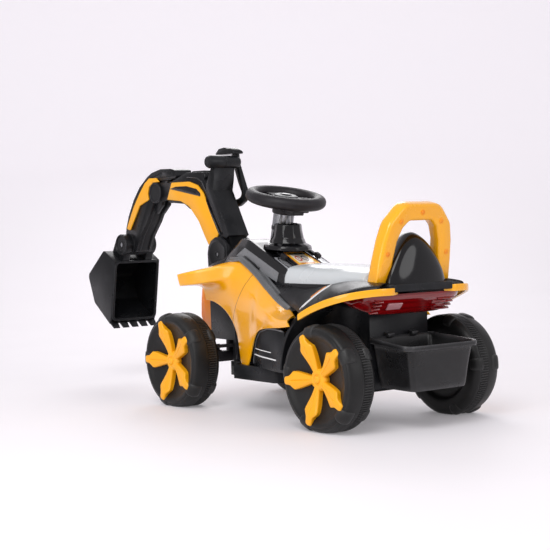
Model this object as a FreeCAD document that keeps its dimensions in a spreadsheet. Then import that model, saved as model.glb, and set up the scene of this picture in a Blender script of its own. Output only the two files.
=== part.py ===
import FreeCAD, Part
import math
import os

from FreeCAD import Vector

# Ride-on digger for a small child. Millimetres, +X forward, +Y to the left, +Z up.
# Every outline is drawn from the middle of the rear axle on the ground; the sheet's middle_x
# then carries each sub-part back, so that the origin is at the bottom centre of the whole toy.

doc = FreeCAD.newDocument("ride_on_digger")

DIMENSIONS = {
    "middle_x": 488.5,
    # running gear
    "wheelbase": 530.0,
    "wheel_radius": 110.0,
    "wheel_middle_y": 179.0,
    "wheel_half_width": 40.0,
    "web_in": 34.0,
    "web_out": 27.0,
    "hub_radius": 13.0,
    "tyre_wall": 5.0,
    "star_radius": 95.0,
    "star_thick": 12.0,
    "axle_radius": 5.0,
    "running_gap": 0.05,
    "nut_radius": 8.0,
    "kingpin_y": 114.0,
    "steer_arm": 60.0,
    "drop_arm": 41.0,
    "rod_level": 138.0,
    "rod_thick": 6.0,
    # body
    "body_half": 82.0,
    "wall": 4.0,
    "floor_low": 74.0,
    "floor_high": 106.0,
    "deck_low": 284.0,
    "deck_high": 297.0,
    "arch_radius": 145.0,
    "arch_band": 6.0,
    "basket_wall": 3.5,
    "hoop_depth": 32.0,
    "hoop_lean": 12.0,
    # steering
    "rim_x": 349.0,
    "rim_z": 480.0,
    "rim_radius": 78.0,
    "rim_section": 15.0,
    "column_tilt": 13.0,
    "column_radius": 26.0,
    "shaft_radius": 6.0,
    # arm
    "boom_x": 567.0,
    "boom_z": 351.0,
    "stick_x": 857.0,
    "stick_z": 506.0,
    "bucket_x": 1000.0,
    "bucket_z": 372.0,
    "lever_x": 630.0,
    "lever_z": 474.0,
    "crank": 16.0,
    "boom_half": 24.0,
    "panel_thick": 4.0,
    "plate_half": 30.0,
    "cheek_low": 32.0,
    "cheek_high": 41.0,
    "tongue_half": 15.0,
    "link_half": 4.0,
    "bucket_half": 70.0,
    "bucket_wall": 5.0,
    "grip_half": 47.0,
    "grip_radius": 16.0,
    "arm_pin_radius": 6.0,
}


def make_sheet():
    """Writes the driving dimensions, one aliased cell each."""
    sheet = doc.addObject("Spreadsheet::Sheet", "dims")
    for row, (alias, number) in enumerate(DIMENSIONS.items(), start=1):
        sheet.set(f"A{row}", alias)
        sheet.set(f"B{row}", str(number))
        sheet.setAlias(f"B{row}", alias)
    doc.recompute()
    return sheet


dims = make_sheet()
nodes = []


def size(expression):
    """The number that an expression on the sheet stands for, in millimetres."""
    return float(dims.evalExpression(expression))


def size_of(alias):
    return float(dims.get(alias))


WHEELBASE = size_of("wheelbase")
RADIUS = size_of("wheel_radius")
WALL = size_of("wall")
BOOM = (size_of("boom_x"), size_of("boom_z"))
STICK = (size_of("stick_x"), size_of("stick_z"))
BUCKET = (size_of("bucket_x"), size_of("bucket_z"))
LEVER = (size_of("lever_x"), size_of("lever_z"))
PLANES = {"plan": "XY_Plane", "side": "XZ_Plane", "front": "YZ_Plane"}


# ---------------------------------------------------------------- drawing helpers


def corner_arc(before, corner, after, radius):
    """The arc that rounds a corner: its start, middle and end points."""
    to_before = (before - corner).normalize()
    to_after = (after - corner).normalize()
    half = to_before.getAngle(to_after) / 2
    reach = radius / math.tan(half)
    start = corner + to_before * reach
    end = corner + to_after * reach
    inward = (to_before + to_after).normalize()
    centre = corner + inward * (radius / math.sin(half))
    return start, centre - inward * radius, end


def outline_edges(points):
    """Closed run of lines through (u, v) points; a third number rounds that corner."""
    flat = [Vector(p[0], p[1], 0) for p in points]
    arcs = []
    for i, point in enumerate(points):
        radius = point[2] if len(point) > 2 else 0
        if radius:
            arcs.append(corner_arc(flat[i - 1], flat[i], flat[(i + 1) % len(flat)], radius))
        else:
            arcs.append((flat[i], None, flat[i]))
    edges = []
    for i, (start, middle, end) in enumerate(arcs):
        if middle is not None:
            edges.append(Part.Arc(start, middle, end))
        following = arcs[(i + 1) % len(arcs)][0]
        if (following - end).Length > 1e-6:
            edges.append(Part.LineSegment(end, following))
    return edges


def origin_plane(body, view):
    for feature in body.Origin.OriginFeatures:
        if feature.Role == PLANES[view]:
            return feature
    raise ValueError(view)


def add_sketch(body, name, view, outlines, circles=()):
    sketch = body.newObject("Sketcher::SketchObject", name + "_sketch")
    sketch.AttachmentSupport = [(origin_plane(body, view), "")]
    sketch.MapMode = "FlatFace"
    for outline in outlines:
        for edge in outline_edges(outline):
            sketch.addGeometry(edge)
    for u, v, radius in circles:
        sketch.addGeometry(Part.Circle(Vector(u, v, 0), Vector(0, 0, 1), radius))
    return sketch


def extrude(name, view, outlines, low, high, circles=()):
    """PartDesign body: closed outlines padded between two levels given as sheet expressions."""
    body = doc.addObject("PartDesign::Body", name)
    sketch = add_sketch(body, name, view, outlines, circles)
    start = f"-({high})" if view == "side" else low
    sketch.setExpression("AttachmentOffset.Base.z", start)
    pad = body.newObject("PartDesign::Pad", name + "_pad")
    pad.Profile = sketch
    pad.setExpression("Length", f"({high}) - ({low})")
    return body


def cylinder(name, start, direction, radius, length):
    """Part cylinder from a start point along a direction; radius and length are expressions."""
    drum = doc.addObject("Part::Cylinder", name)
    drum.setExpression("Radius", radius)
    drum.setExpression("Height", length)
    drum.Placement = FreeCAD.Placement(
        Vector(*start), FreeCAD.Rotation(Vector(0, 0, 1), Vector(*direction))
    )
    return drum


def across(name, centre, radius, low, high):
    """Cylinder along Y about a (x, z) centre, between two expressions."""
    start = (centre[0], size(low), centre[1])
    return cylinder(name, start, (0, 1, 0), radius, f"({high}) - ({low})")


def block(name, low, high):
    """Part box between two corners."""
    box = doc.addObject("Part::Box", name)
    box.Length, box.Width, box.Height = (high[i] - low[i] for i in range(3))
    box.Placement.Base = Vector(*low)
    return box


def loft(name, stations):
    """Straight-sided Part loft through closed polygons of (x, y, z) points."""
    sections = []
    for i, station in enumerate(stations):
        polygon = doc.addObject("Part::Polygon", f"{name}_section_{i}")
        polygon.Nodes = [Vector(*p) for p in station]
        polygon.Close = True
        sections.append(polygon)
    body = doc.addObject("Part::Loft", name)
    body.Sections = sections
    body.Solid = True
    body.Ruled = True
    return body


def flat_faces(corners):
    """Two triangles that fill a four-sided patch."""
    for triple in ((0, 1, 2), (0, 2, 3)):
        ring = [corners[i] for i in triple]
        edges = Part.makePolygon(ring + ring[:1])
        yield Part.Face(edges)


def skin(name, stations, inward):
    """Moulded sheet: a grid of outer points, one station per row, and the same grid moved inward."""
    outer = [[Vector(*p) for p in station] for station in stations]
    inner = [
        [p + Vector(*(inward[i] if isinstance(inward, list) else inward)) for p in station]
        for i, station in enumerate(outer)
    ]
    rows, columns = len(outer), len(outer[0])
    faces = []
    for i in range(rows - 1):
        for j in range(columns - 1):
            square = ((i, j), (i, j + 1), (i + 1, j + 1), (i + 1, j))
            faces += flat_faces([outer[a][b] for a, b in square])
            faces += flat_faces([inner[a][b] for a, b in reversed(square)])
    rim = [(i, 0) for i in range(rows)]
    rim += [(rows - 1, j) for j in range(1, columns)]
    rim += [(i, columns - 1) for i in range(rows - 2, -1, -1)]
    rim += [(0, j) for j in range(columns - 2, 0, -1)]
    for (a, b), (c, e) in zip(rim, rim[1:] + rim[:1]):
        faces += flat_faces([outer[a][b], outer[c][e], inner[c][e], inner[a][b]])
    shell = Part.makeShell(faces)
    solid = Part.makeSolid(shell)
    if solid.Volume < 0:
        solid.reverse()
    sheet = doc.addObject("Part::Feature", name)
    sheet.Shape = solid
    return sheet


def fuse(name, *shapes):
    joined = doc.addObject("Part::MultiFuse", name)
    joined.Shapes = list(shapes)
    joined.Refine = False
    return joined


def cut(name, base, *tools):
    tool = tools[0] if len(tools) == 1 else fuse(name + "_tools", *tools)
    result = doc.addObject("Part::Cut", name)
    result.Base = base
    result.Tool = tool
    result.Refine = False
    return result


def group(name, shapes):
    """Identical pieces kept as separate solids of one node."""
    several = doc.addObject("Part::Compound", name)
    several.Links = list(shapes)
    return several


def finish(label, shape):
    """Names a sub-part and moves it from the rear axle to the toy's own origin."""
    shape.Label = label
    shape.setExpression("Placement.Base.x", f"{shape.Placement.Base.x} - dims.middle_x")
    nodes.append(shape)
    return shape


def finish_pair(stem, left):
    """A left-hand sub-part and its mirror image on the right."""
    finish(stem + "_left", left)
    right = doc.addObject("Part::Mirroring", stem + "_mirror")
    right.Source = left
    right.Normal = Vector(0, 1, 0)
    right.Label = stem + "_right"
    nodes.append(right)


def polar(centre, radius, degrees):
    angle = math.radians(degrees)
    return centre[0] + radius * math.cos(angle), centre[1] + radius * math.sin(angle)


def arc_points(centre, radius, first, last, count):
    """Points of a round stretch, both ends included."""
    step = (last - first) / (count - 1)
    return [polar(centre, radius, first + step * i) for i in range(count)]


# ---------------------------------------------------------------- lower body


TUB_OUTLINE = [
    (-22, 78),
    (-22, 240, 10),
    (60, 282, 20),
    (290, 282),
    (404, 296),
    (526, 284),
    (526, 200),
    (455, 170),
    (455, 78),
]
TUB_CAVITY = [
    (-18, 70),
    (-18, 238, 8),
    (61, 278, 18),
    (290, 278),
    (404, 292),
    (522, 280),
    (522, 203),
    (451, 173),
    (451, 70),
]
# plan of the moulded black side box that carries the decorated lower panel
SIDE_BOX = [(152, 78), (152, 168), (190, 162), (281, 134), (334, 111), (350, 104), (356, 78)]
SIDE_BOX_INSIDE = [(156, 60), (156, 164), (189, 158), (279, 130), (332, 107), (347, 101), (352, 60)]


def mirrored(outline):
    """The same plan outline on the right-hand side."""
    return [(x, -y) for x, y in outline]


def chassis_tub():
    outer = extrude("tub_outer", "side", [TUB_OUTLINE], "-dims.body_half", "dims.body_half")
    left = extrude("tub_side_left", "plan", [SIDE_BOX], "dims.floor_high + 1", "195")
    right = extrude("tub_side_right", "plan", [mirrored(SIDE_BOX)], "dims.floor_high + 1", "195")
    solid = fuse("tub_solid", outer, left, right)
    inside = "dims.body_half - dims.wall"
    cavity = extrude("tub_cavity", "side", [TUB_CAVITY], f"-({inside})", inside)
    rod_slot = block("tub_rod_slot", (445, -44, 128), (460, 44, 156))
    column_hole = block("tub_column_hole", (352, -14, 270), (402, 14, 300))
    hollows = [
        extrude(f"tub_side_hollow_{i}", "plan", [outline], "dims.floor_high - 20", "191")
        for i, outline in enumerate((SIDE_BOX_INSIDE, mirrored(SIDE_BOX_INSIDE)))
    ]
    axle_hole = across("tub_axle_hole", (0, RADIUS), "dims.axle_radius", "-100", "100")
    finish("chassis_tub", cut("tub", solid, cavity, *hollows, rod_slot, column_hole, axle_hole))


def floor_tray():
    """Bottom cover, whose ledges on both sides are the child's foot rests."""
    half = [
        (-20, 78), (228, 78), (236, 112), (246, 124), (392, 127), (401, 118), (409, 97), (420, 91),
        (454, 90),
    ]
    ring = half + [(x, -y) for x, y in reversed(half)]
    solid = extrude("tray_solid", "plan", [ring], "dims.floor_low", "dims.floor_high")
    inset = 4
    inner = [
        (-16, 74), (231, 74), (240, 110), (249, 120), (390, 123), (397, 116), (405, 94), (418, 87),
        (450, 86),
    ]
    inner_ring = inner + [(x, -y) for x, y in reversed(inner)]
    hollow = extrude(
        "tray_hollow", "plan", [inner_ring], "dims.floor_low - 1", f"dims.floor_high - {inset}"
    )
    hull = extrude(
        "tray_seat", "side", [[(-30, 77), (460, 77), (460, 120), (-30, 120)]],
        "-dims.body_half - 1", "dims.body_half + 1",
    )
    floor = extrude(
        "tray_floor", "plan", [[(-14, -76), (448, -76), (448, 76), (-14, 76)]],
        "dims.floor_low", "dims.floor_low + 2.5",
    )
    finish("floor_tray", fuse("tray", cut("tray_ledges", solid, hollow, hull), floor))


def front_fascia():
    outline = [
        (530, 281), (592, 281, 6), (598, 241, 30), (600, 203, 20), (578, 166, 6), (552, 166),
        (545, 220),
    ]
    solid = extrude("fascia_solid", "side", [outline], "-70", "70")
    inner = [(526, 278), (586, 278), (593, 240), (595, 205), (574, 171), (540, 160), (500, 220)]
    hollow = extrude("fascia_hollow", "side", [inner], "-66", "66")
    finish("front_fascia", cut("fascia", solid, hollow))


# stations run from the nose back to the rear arch; points from the ridge down to the lower edge
FAIRING = [
    [(500, 84, 326), (500, 96, 300), (504, 99, 270), (510, 100, 246)],
    [(470, 84, 334), (472, 97, 300), (470, 100, 265), (468, 100, 233)],
    [(431, 84, 338), (436, 98, 290), (436, 101, 250), (438, 101, 214)],
    [(404, 85, 338), (405, 100, 280), (406, 104, 230), (410, 103, 176)],
    [(372, 88, 324), (372, 106, 270), (374, 110, 210), (393, 103, 112)],
    [(350, 90, 312), (348, 112, 262), (345, 117, 205), (345, 119, 112)],
    [(327, 93, 302), (322, 120, 256), (316, 128, 215), (306, 133, 173)],
    [(283, 103, 280), (280, 133, 246), (280, 141, 215), (281, 143, 189)],
    [(238, 113, 258), (236, 149, 234), (238, 156, 216), (245, 157, 199)],
    [(204, 121, 246), (200, 168, 224), (196, 176, 213), (190, 178, 203)],
    [(172, 130, 236), (152, 186, 220), (142, 192, 213), (135, 194, 207)],
    [(128, 160, 230), (106, 198, 224), (98, 202, 218), (92, 204, 213)],
]
WING = [
    [(556, 84, 309), (556, 130, 313), (554, 170, 310)],
    [(506, 84, 322), (506, 132, 320), (506, 172, 313)],
    [(470, 84, 332), (468, 110, 330), (464, 140, 318)],
    [(436, 84, 337), (434, 92, 335), (430, 106, 322)],
]
WING_LIP = [
    [(554, 166, 312), (553, 166, 284)],
    [(506, 168, 315), (506, 168, 285)],
    [(464, 136, 320), (464, 134, 287)],
    [(430, 102, 324), (430, 100, 290)],
]


def side_fairings():
    side = skin("fairing_side", FAIRING, (0, -4, 0))
    wing = skin("fairing_wing", WING, (0, 0, -4))
    lip = skin("fairing_lip", WING_LIP, (-1, 4, 0))
    finish_pair("side_fairing", fuse("fairing", side, wing, lip))


# ---------------------------------------------------------------- bonnet and seat


def hood_station(x, side_y, side_z, shoulder_y, shoulder_z, top_y, top_z, inset=0.0):
    """Six-sided cross-section of the bonnet, drawn in by inset for its inside."""
    half = [
        (side_y - inset, side_z - 2 * inset),
        (shoulder_y - inset, shoulder_z - inset),
        (top_y - inset, top_z - inset),
    ]
    return [(x, y, z) for y, z in half] + [(x, -y, z) for y, z in reversed(half)]


HOOD = [
    (262, 82, 286, 81, 318, 62, 326),
    (325, 83, 296, 76, 332, 56, 364),
    (440, 82, 300, 60, 363, 46, 374),
    (500, 76, 298, 56, 352, 42, 360),
    (528, 68, 288, 50, 338, 40, 344),
]


def hood_cover():
    outer = loft("hood_outer", [hood_station(*s) for s in HOOD])
    inner_rows = [hood_station(*s, inset=WALL) for s in HOOD]
    inner = loft("hood_inner", inner_rows)
    column = cylinder("hood_column_hole", (366, 0, 330), (0, 0, 1), "34", "60")
    floor = block("hood_open_base", (270, -66, 270), (520, 66, 297))
    wells = [key_block(f"hood_key_well_{i}", side, 18, 11, -12, 20) for i, side in enumerate((1, -1))]
    finish("hood_cover", cut("hood", outer, inner, column, floor, *wells))


KEY_SPOT = (298, 49, 348)
KEY_SLOPE = 31


def rocker_key(name, side):
    """Rocker key: a cap on a round barrel, with a stub pin at each end of its axis."""
    x, y, z = KEY_SPOT
    barrel = cylinder(f"{name}_barrel", (x, side * y - 4.5, z), (0, 1, 0), "5.6", "9")
    stubs = cylinder(f"{name}_stubs", (x, side * y - 5.3, z), (0, 1, 0), "2", "10.6")
    return fuse(f"{name}_solid", key_block(name, side, 15, 9, -5, 5), barrel, stubs)


def key_block(name, side, length, width, low, high):
    """Box on the slope of the dash, where a rocker key or its well sits."""
    box = doc.addObject("Part::Box", name)
    box.Length, box.Width, box.Height = length, width, high - low
    turn = FreeCAD.Rotation(Vector(0, 1, 0), -KEY_SLOPE)
    corner = turn.multVec(Vector(-length / 2, -width / 2, low))
    spot = Vector(KEY_SPOT[0], side * KEY_SPOT[1], KEY_SPOT[2])
    box.Placement = FreeCAD.Placement(spot + corner, turn)
    return box


def dash_plate():
    outline = [(262, 328), (320, 362), (318, 366), (260, 333)]
    finish("dash_plate", extrude("dash", "side", [outline], "-40", "40"))


def steering_boot():
    tilt = math.radians(size_of("column_tilt"))
    boot = doc.addObject("Part::Cone", "boot_cone")
    boot.Radius1 = 58
    boot.Radius2 = 34
    boot.Height = 36
    boot.Placement.Base = Vector(372, 0, 371)
    low = 330
    axis_x = size_of("rim_x") + (size_of("rim_z") - low) * math.tan(tilt)
    along = (-math.sin(tilt), 0, math.cos(tilt))
    bore = cylinder("boot_bore", (axis_x, 0, low), along, "dims.column_radius", "120")
    below = block("boot_below", (300, -70, 340), (450, 70, 374.5))
    finish("steering_boot", cut("boot", boot, bore, below))


def saddle_station(x, half, edge, top):
    """Arched cross-section of the saddle: its half width, edge level and crown level."""
    profile = [(half, edge), (half - 3, edge + 17), (half - 16, top - 8), (half - 42, top), (0, top + 2)]
    right = [(-y, z) for y, z in profile[-2::-1]]
    return [(x, y, z) for y, z in profile + right]


def seat_saddle():
    outer = [
        (258, 80, 284, 320), (240, 80, 284, 328), (180, 80, 284, 330), (120, 82, 284, 330),
        (74, 82, 285, 330),
    ]
    shell = loft("saddle_outer", [saddle_station(*s) for s in outer])
    inner = [
        (254, 76, 278, 314), (240, 76, 278, 323), (180, 76, 278, 325), (120, 78, 278, 325),
        (79, 78, 278, 325),
    ]
    hollow = loft("saddle_inner", [saddle_station(*s) for s in inner])
    finish("seat_saddle", cut("saddle", shell, hollow))


def rear_deck():
    half = [(72, 80), (20, 87), (-30, 92), (-70, 94), (-92, 80)]
    ring = half + [(x, -y) for x, y in reversed(half)]
    plate = extrude("deck_plate", "plan", [ring], "dims.deck_low", "dims.deck_high")
    relief = block("deck_relief", (-84, -74, 280), (68, 74, 292))
    finish("rear_deck", cut("deck", plate, relief))


HAUNCH = [
    [(282, 84, 284), (274, 92, 279), (266, 101, 272)],
    [(240, 84, 284), (232, 98, 270), (224, 111, 257)],
    [(200, 84, 284), (190, 104, 262), (182, 122, 244)],
    [(160, 84, 284), (142, 112, 262), (122, 150, 238)],
    [(110, 84, 285), (100, 124, 268), (80, 184, 240)],
    [(70, 86, 290), (60, 130, 280), (44, 182, 254)],
    [(20, 92, 298), (6, 132, 292), (-6, 172, 274)],
    [(-30, 96, 301), (-42, 128, 297), (-50, 156, 286)],
    [(-68, 97, 301), (-74, 112, 299), (-78, 132, 292)],
]


def rear_fenders():
    """Black haunch beside the seat with the band that follows the rear wheel arch."""
    haunch = skin("haunch", HAUNCH, (0, -2, -4))
    centre = (0, RADIUS)
    arch = size_of("arch_radius")
    band = size_of("arch_band")
    ring = arc_points(centre, arch + band, 2, 62, 9) + arc_points(centre, arch, 62, 2, 9)
    arch_band = extrude("arch_strip", "side", [ring], "110", "178")
    foot = block("arch_foot", (74, 140, 236), (88, 160, 250))
    finish_pair("rear_fender", fuse("fender", haunch, arch_band, foot))


TRIM = [
    [(88, 198, 232), (86, 199, 221)],
    [(62, 199, 242), (58, 200, 226)],
    [(-2, 191, 270), (-4, 192, 252)],
    [(-50, 173, 286), (-52, 174, 269)],
    [(-84, 146, 295), (-87, 147, 279)],
    [(-108, 112, 297), (-110, 112, 283)],
]
TRIM_DEPTH = [(0, -7, 0), (0, -8, 0), (2, -10, 0), (4, -12, 0), (6, -20, 0), (4, -26, 0)]


def fender_trims():
    finish_pair("fender_trim", skin("trim", TRIM, TRIM_DEPTH))


def tail_lamp_bar():
    """Wrap-around red lens under the tail ledge, hollow behind."""
    def section(y, depth, low):
        return [(-86, y, 276), (-58 + depth, y, low), (-34, y, low), (-34, y, 276)]

    outer = loft(
        "lamp_outer",
        [section(-116, 20, 246), section(-84, 0, 240), section(84, 0, 240), section(116, 20, 246)],
    )
    inner = block("lamp_hollow", (-54, -80, 244), (-28, 80, 272))
    finish("tail_lamp_bar", cut("lamp", outer, inner))


def tail_reflectors():
    plates = []
    slope = math.degrees(math.atan2(28, 36))
    for name, side in (("left", 1), ("right", -1)):
        plate = doc.addObject("Part::Box", f"reflector_{name}")
        plate.Length, plate.Width, plate.Height = 3, 40, 14
        plate.Placement = FreeCAD.Placement(
            Vector(-69.5, side * 60 - 20, 250), FreeCAD.Rotation(Vector(0, 1, 0), -slope)
        )
        plates.append(plate)
    finish("tail_reflectors", group("reflectors", plates))


def backrest():
    """Domed back rest that stands inside the hoop."""
    levels = [
        (298, -94, -8, 60), (322, -93, -10, 57), (350, -90, -14, 50), (376, -84, -20, 40),
        (394, -76, -28, 28), (402, -66, -36, 14),
    ]

    def ring(z, rear, front, half):
        middle, reach = (rear + front) / 2, (front - rear) / 2
        return [
            (middle + reach * math.cos(math.radians(a)), half * math.sin(math.radians(a)), z)
            for a in range(0, 360, 30)
        ]

    outer = loft("dome_outer", [ring(*level) for level in levels])
    inner_levels = [(297, *levels[0][1:])] + levels[1:]
    inner = loft(
        "dome_inner",
        [ring(z - 4, rear + 4, front - 4, half - 4) for z, rear, front, half in inner_levels],
    )
    finish("backrest", cut("dome", outer, inner))


HOOP_SCREWS = [(82, 66), (55, 134), (0, 152), (-55, 134), (-82, 66)]


def lean_back(shape):
    """Turns a hoop piece back about the line where the hoop meets the deck."""
    lean = size_of("hoop_lean")
    shape.Placement = FreeCAD.Placement(
        Vector(-52, 0, size_of("deck_high")), FreeCAD.Rotation(Vector(0, 1, 0), -lean)
    )
    return shape


def back_hoop():
    outer = [
        (-104, 0), (-99, 90), (-88, 128, 30), (-52, 168, 34), (52, 168, 34), (88, 128, 30), (99, 90),
        (104, 0),
    ]
    inner = [
        (66, 0), (61, 84), (46, 118, 20), (30, 132, 18), (-30, 132, 18), (-46, 118, 20), (-61, 84),
        (-66, 0),
    ]
    arch = extrude("hoop_arch", "front", [outer + inner], "-dims.hoop_depth / 2", "dims.hoop_depth / 2")
    outer_inside = [
        (-98, 6), (-93, 89), (-83, 125, 26), (-50, 162, 30), (50, 162, 30), (83, 125, 26), (93, 89),
        (98, 6),
    ]
    inner_inside = [
        (72, 6), (67, 86), (51, 121, 24), (32, 138, 22), (-32, 138, 22), (-51, 121, 24), (-67, 86),
        (-72, 6),
    ]
    channel = extrude(
        "hoop_channel", "front", [outer_inside + inner_inside],
        "9 - dims.hoop_depth / 2", "dims.hoop_depth / 2 + 1",
    )
    recesses = [
        cylinder(f"hoop_recess_{i}", (-18, y, z), (1, 0, 0), "4.5", "7")
        for i, (y, z) in enumerate(HOOP_SCREWS)
    ]
    hoop = cut("hoop", arch, channel, *recesses)
    finish("back_hoop", lean_back(hoop))
    screws = [
        cylinder(f"hoop_screw_{i}", (-13.5, y, z), (1, 0, 0), "3", "2.4")
        for i, (y, z) in enumerate(HOOP_SCREWS)
    ]
    finish("hoop_screws", lean_back(group("hoop_screw_set", screws)))


def basket_ring(front_x, front_half, rear_x, rear_half, front_z, rear_z):
    return [
        (front_x, front_half, front_z),
        (rear_x, rear_half, rear_z),
        (rear_x, -rear_half, rear_z),
        (front_x, -front_half, front_z),
    ]


def rear_basket():
    low = basket_ring(-34, 62, -142, 66, 84, 84)
    high = basket_ring(-26, 84, -150, 96, 186, 176)
    outer = loft("basket_outer", [low, high])
    w = size_of("basket_wall")
    inner_low = basket_ring(-34 - w, 62 - w, -142 + w, 66 - w, 84 + w, 84 + w)
    inner_high = basket_ring(-26 - w, 84 - w, -150 + w, 96 - w, 190, 180)
    inner = loft("basket_inner", [inner_low, inner_high])
    rim_low = basket_ring(-24, 88, -156, 104, 180, 169)
    rim_high = basket_ring(-24, 88, -156, 104, 187, 176)
    rim = loft("basket_rim", [rim_low, rim_high])
    shell = cut("basket_shell", fuse("basket_solid", outer, rim), inner)
    finish("rear_basket", shell)


def arm_bracket():
    """Yoke on the nose that holds the foot of the boom."""
    base = block("bracket_base", (530, -41, 283), (604, 41, 305))
    cheek = [(528, 300), (528, 340), *arc_points(BOOM, 42, 155, 0, 7), (606, 300)]
    cheeks = [
        extrude("bracket_left", "side", [cheek], "dims.cheek_low", "dims.cheek_high"),
        extrude("bracket_right", "side", [cheek], "-dims.cheek_high", "-dims.cheek_low"),
    ]
    pin = across("bracket_bore", BOOM, "dims.arm_pin_radius", "-60", "60")
    finish("arm_bracket", cut("bracket", fuse("bracket_solid", base, *cheeks), pin))


# ---------------------------------------------------------------- drive and electrics


def rear_axle():
    shaft = across(
        "axle_shaft", (0, RADIUS), "dims.axle_radius", "-dims.wheel_middle_y - 33",
        "dims.wheel_middle_y + 33",
    )
    ends = []
    for name, low, high in (
        ("left", "dims.wheel_middle_y + dims.web_out + 0.4", "dims.wheel_middle_y + 33"),
        ("right", "-dims.wheel_middle_y - 33", "-dims.wheel_middle_y - dims.web_out - 0.4"),
    ):
        ends.append(across(f"axle_nut_{name}", (0, RADIUS), "dims.nut_radius", low, high))
    finish("rear_axle", fuse("axle", shaft, *ends))


def drive_unit():
    case_outline = [(-36, 92, 10), (-36, 138, 14), (14, 148, 14), (62, 138, 14), (62, 92, 10)]
    case = extrude("gearbox_solid", "side", [case_outline], "-136", "-104")
    bore = across("gearbox_bore", (0, RADIUS), "dims.axle_radius", "-140", "-100")
    finish("gearbox_case", cut("gearbox", case, bore))
    can = across("motor_can", (44, 115), "14", "-103.5", "-83")
    boss = across("motor_boss", (44, 115), "5", "-83", "-82")
    finish("drive_motor", fuse("motor", can, boss))


def battery():
    case = block("battery_block", (96, -36, 77), (190, 36, 146))
    lugs = [block(f"battery_lug_{i}", (110 + 56 * i, -6, 146), (122 + 56 * i, 6, 150)) for i in range(2)]
    finish("battery", fuse("battery_case", case, *lugs))


def front_axle_beam():
    level = (WHEELBASE, RADIUS)
    beam = block("beam_bar", (WHEELBASE - 11, -104, RADIUS - 12), (WHEELBASE + 11, 104, RADIUS + 12))
    riser = block("beam_riser", (WHEELBASE - 3.7, -40, RADIUS + 12), (WHEELBASE + 11, 40, 277))
    bosses, bores = [], []
    for name, side in (("left", 1), ("right", -1)):
        spot = (level[0], side * size_of("kingpin_y"))
        bosses.append(cylinder(f"beam_boss_{name}", (*spot, RADIUS - 16), (0, 0, 1), "12", "32"))
        bores.append(
            cylinder(
                f"beam_bore_{name}", (*spot, 0), (0, 0, 1), "dims.axle_radius + dims.running_gap",
                "300",
            )
        )
    finish("front_axle_beam", cut("beam", fuse("beam_solid", beam, riser, *bosses), *bores))


def knuckle(name, side):
    """Steel stub axle on its kingpin, with the arm that the tie rod pushes."""
    pin_y = side * size_of("kingpin_y")
    x = WHEELBASE
    kingpin = cylinder(f"kingpin_{name}", (x, pin_y, RADIUS - 24), (0, 0, 1), "dims.axle_radius", "48")
    plates = [
        cylinder(f"knuckle_top_{name}", (x, pin_y, RADIUS + 16.5), (0, 0, 1), "12", "6"),
        cylinder(f"knuckle_low_{name}", (x, pin_y, RADIUS - 22.5), (0, 0, 1), "12", "6"),
    ]
    near, far = sorted((side * 127, side * 132))
    web = block(f"knuckle_web_{name}", (x - 10, near, RADIUS - 22.5), (x + 10, far, RADIUS + 22.5))
    bridges = []
    for i, low in enumerate((RADIUS + 16.5, RADIUS - 22.5)):
        a, b = sorted((pin_y, side * 130))
        bridges.append(block(f"knuckle_bridge_{name}_{i}", (x - 10, a, low), (x + 10, b, low + 6)))
    end = "dims.wheel_middle_y + 33"
    nut = "dims.wheel_middle_y + dims.web_out + 0.4"
    spans = [("130", end), (nut, end)]
    if side < 0:
        spans = [(f"-({far_end})", f"-({near_end})") for near_end, far_end in spans]
    stub = across(f"stub_{name}", (x, RADIUS), "dims.axle_radius", *spans[0])
    cap = across(f"stub_nut_{name}", (x, RADIUS), "dims.nut_radius", *spans[1])
    reach = size_of("steer_arm")
    arm_low = RADIUS + 16.5
    arm = block(f"steer_arm_{name}", (x - reach - 6, pin_y - 6, arm_low), (x, pin_y + 6, arm_low + 6))
    peg = cylinder(f"steer_peg_{name}", (x - reach, pin_y, arm_low), (0, 0, 1), "4", "20")
    finish(
        f"knuckle_{name}",
        fuse(f"knuckle_{name}_solid", kingpin, *plates, web, *bridges, stub, cap, arm, peg),
    )


def tie_rod():
    """Cross bar with a tongue back to the steering column; its slots let the pegs swing."""
    x = WHEELBASE - size_of("steer_arm")
    pin_y = size_of("kingpin_y")
    column_drop = size_of("rim_z") - size_of("rod_level") - size_of("rod_thick") / 2
    lean = math.tan(math.radians(size_of("column_tilt")))
    tongue_x = size_of("rim_x") + column_drop * lean - size_of("drop_arm")
    low, high = "dims.rod_level", "dims.rod_level + dims.rod_thick"
    half = [
        (tongue_x - 14, -9), (tongue_x - 14, 9), (x - 12, 9), (x - 12, pin_y + 10),
        (x + 10, pin_y + 10),
    ]
    ring = half + [(u, -v) for u, v in reversed(half[2:])]
    slot_half = 5.2

    def slot(u0, u1, v):
        return [(u0, v - slot_half), (u1, v - slot_half), (u1, v + slot_half), (u0, v + slot_half)]

    slots = [slot(x - 5.5, x + 9 - 1.2, side * pin_y) for side in (1, -1)]
    slots.append(slot(tongue_x - 6.5, tongue_x + 12, 0))
    finish("tie_rod", extrude("rod", "plan", [ring] + slots, low, high))


# ---------------------------------------------------------------- wheels


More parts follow.
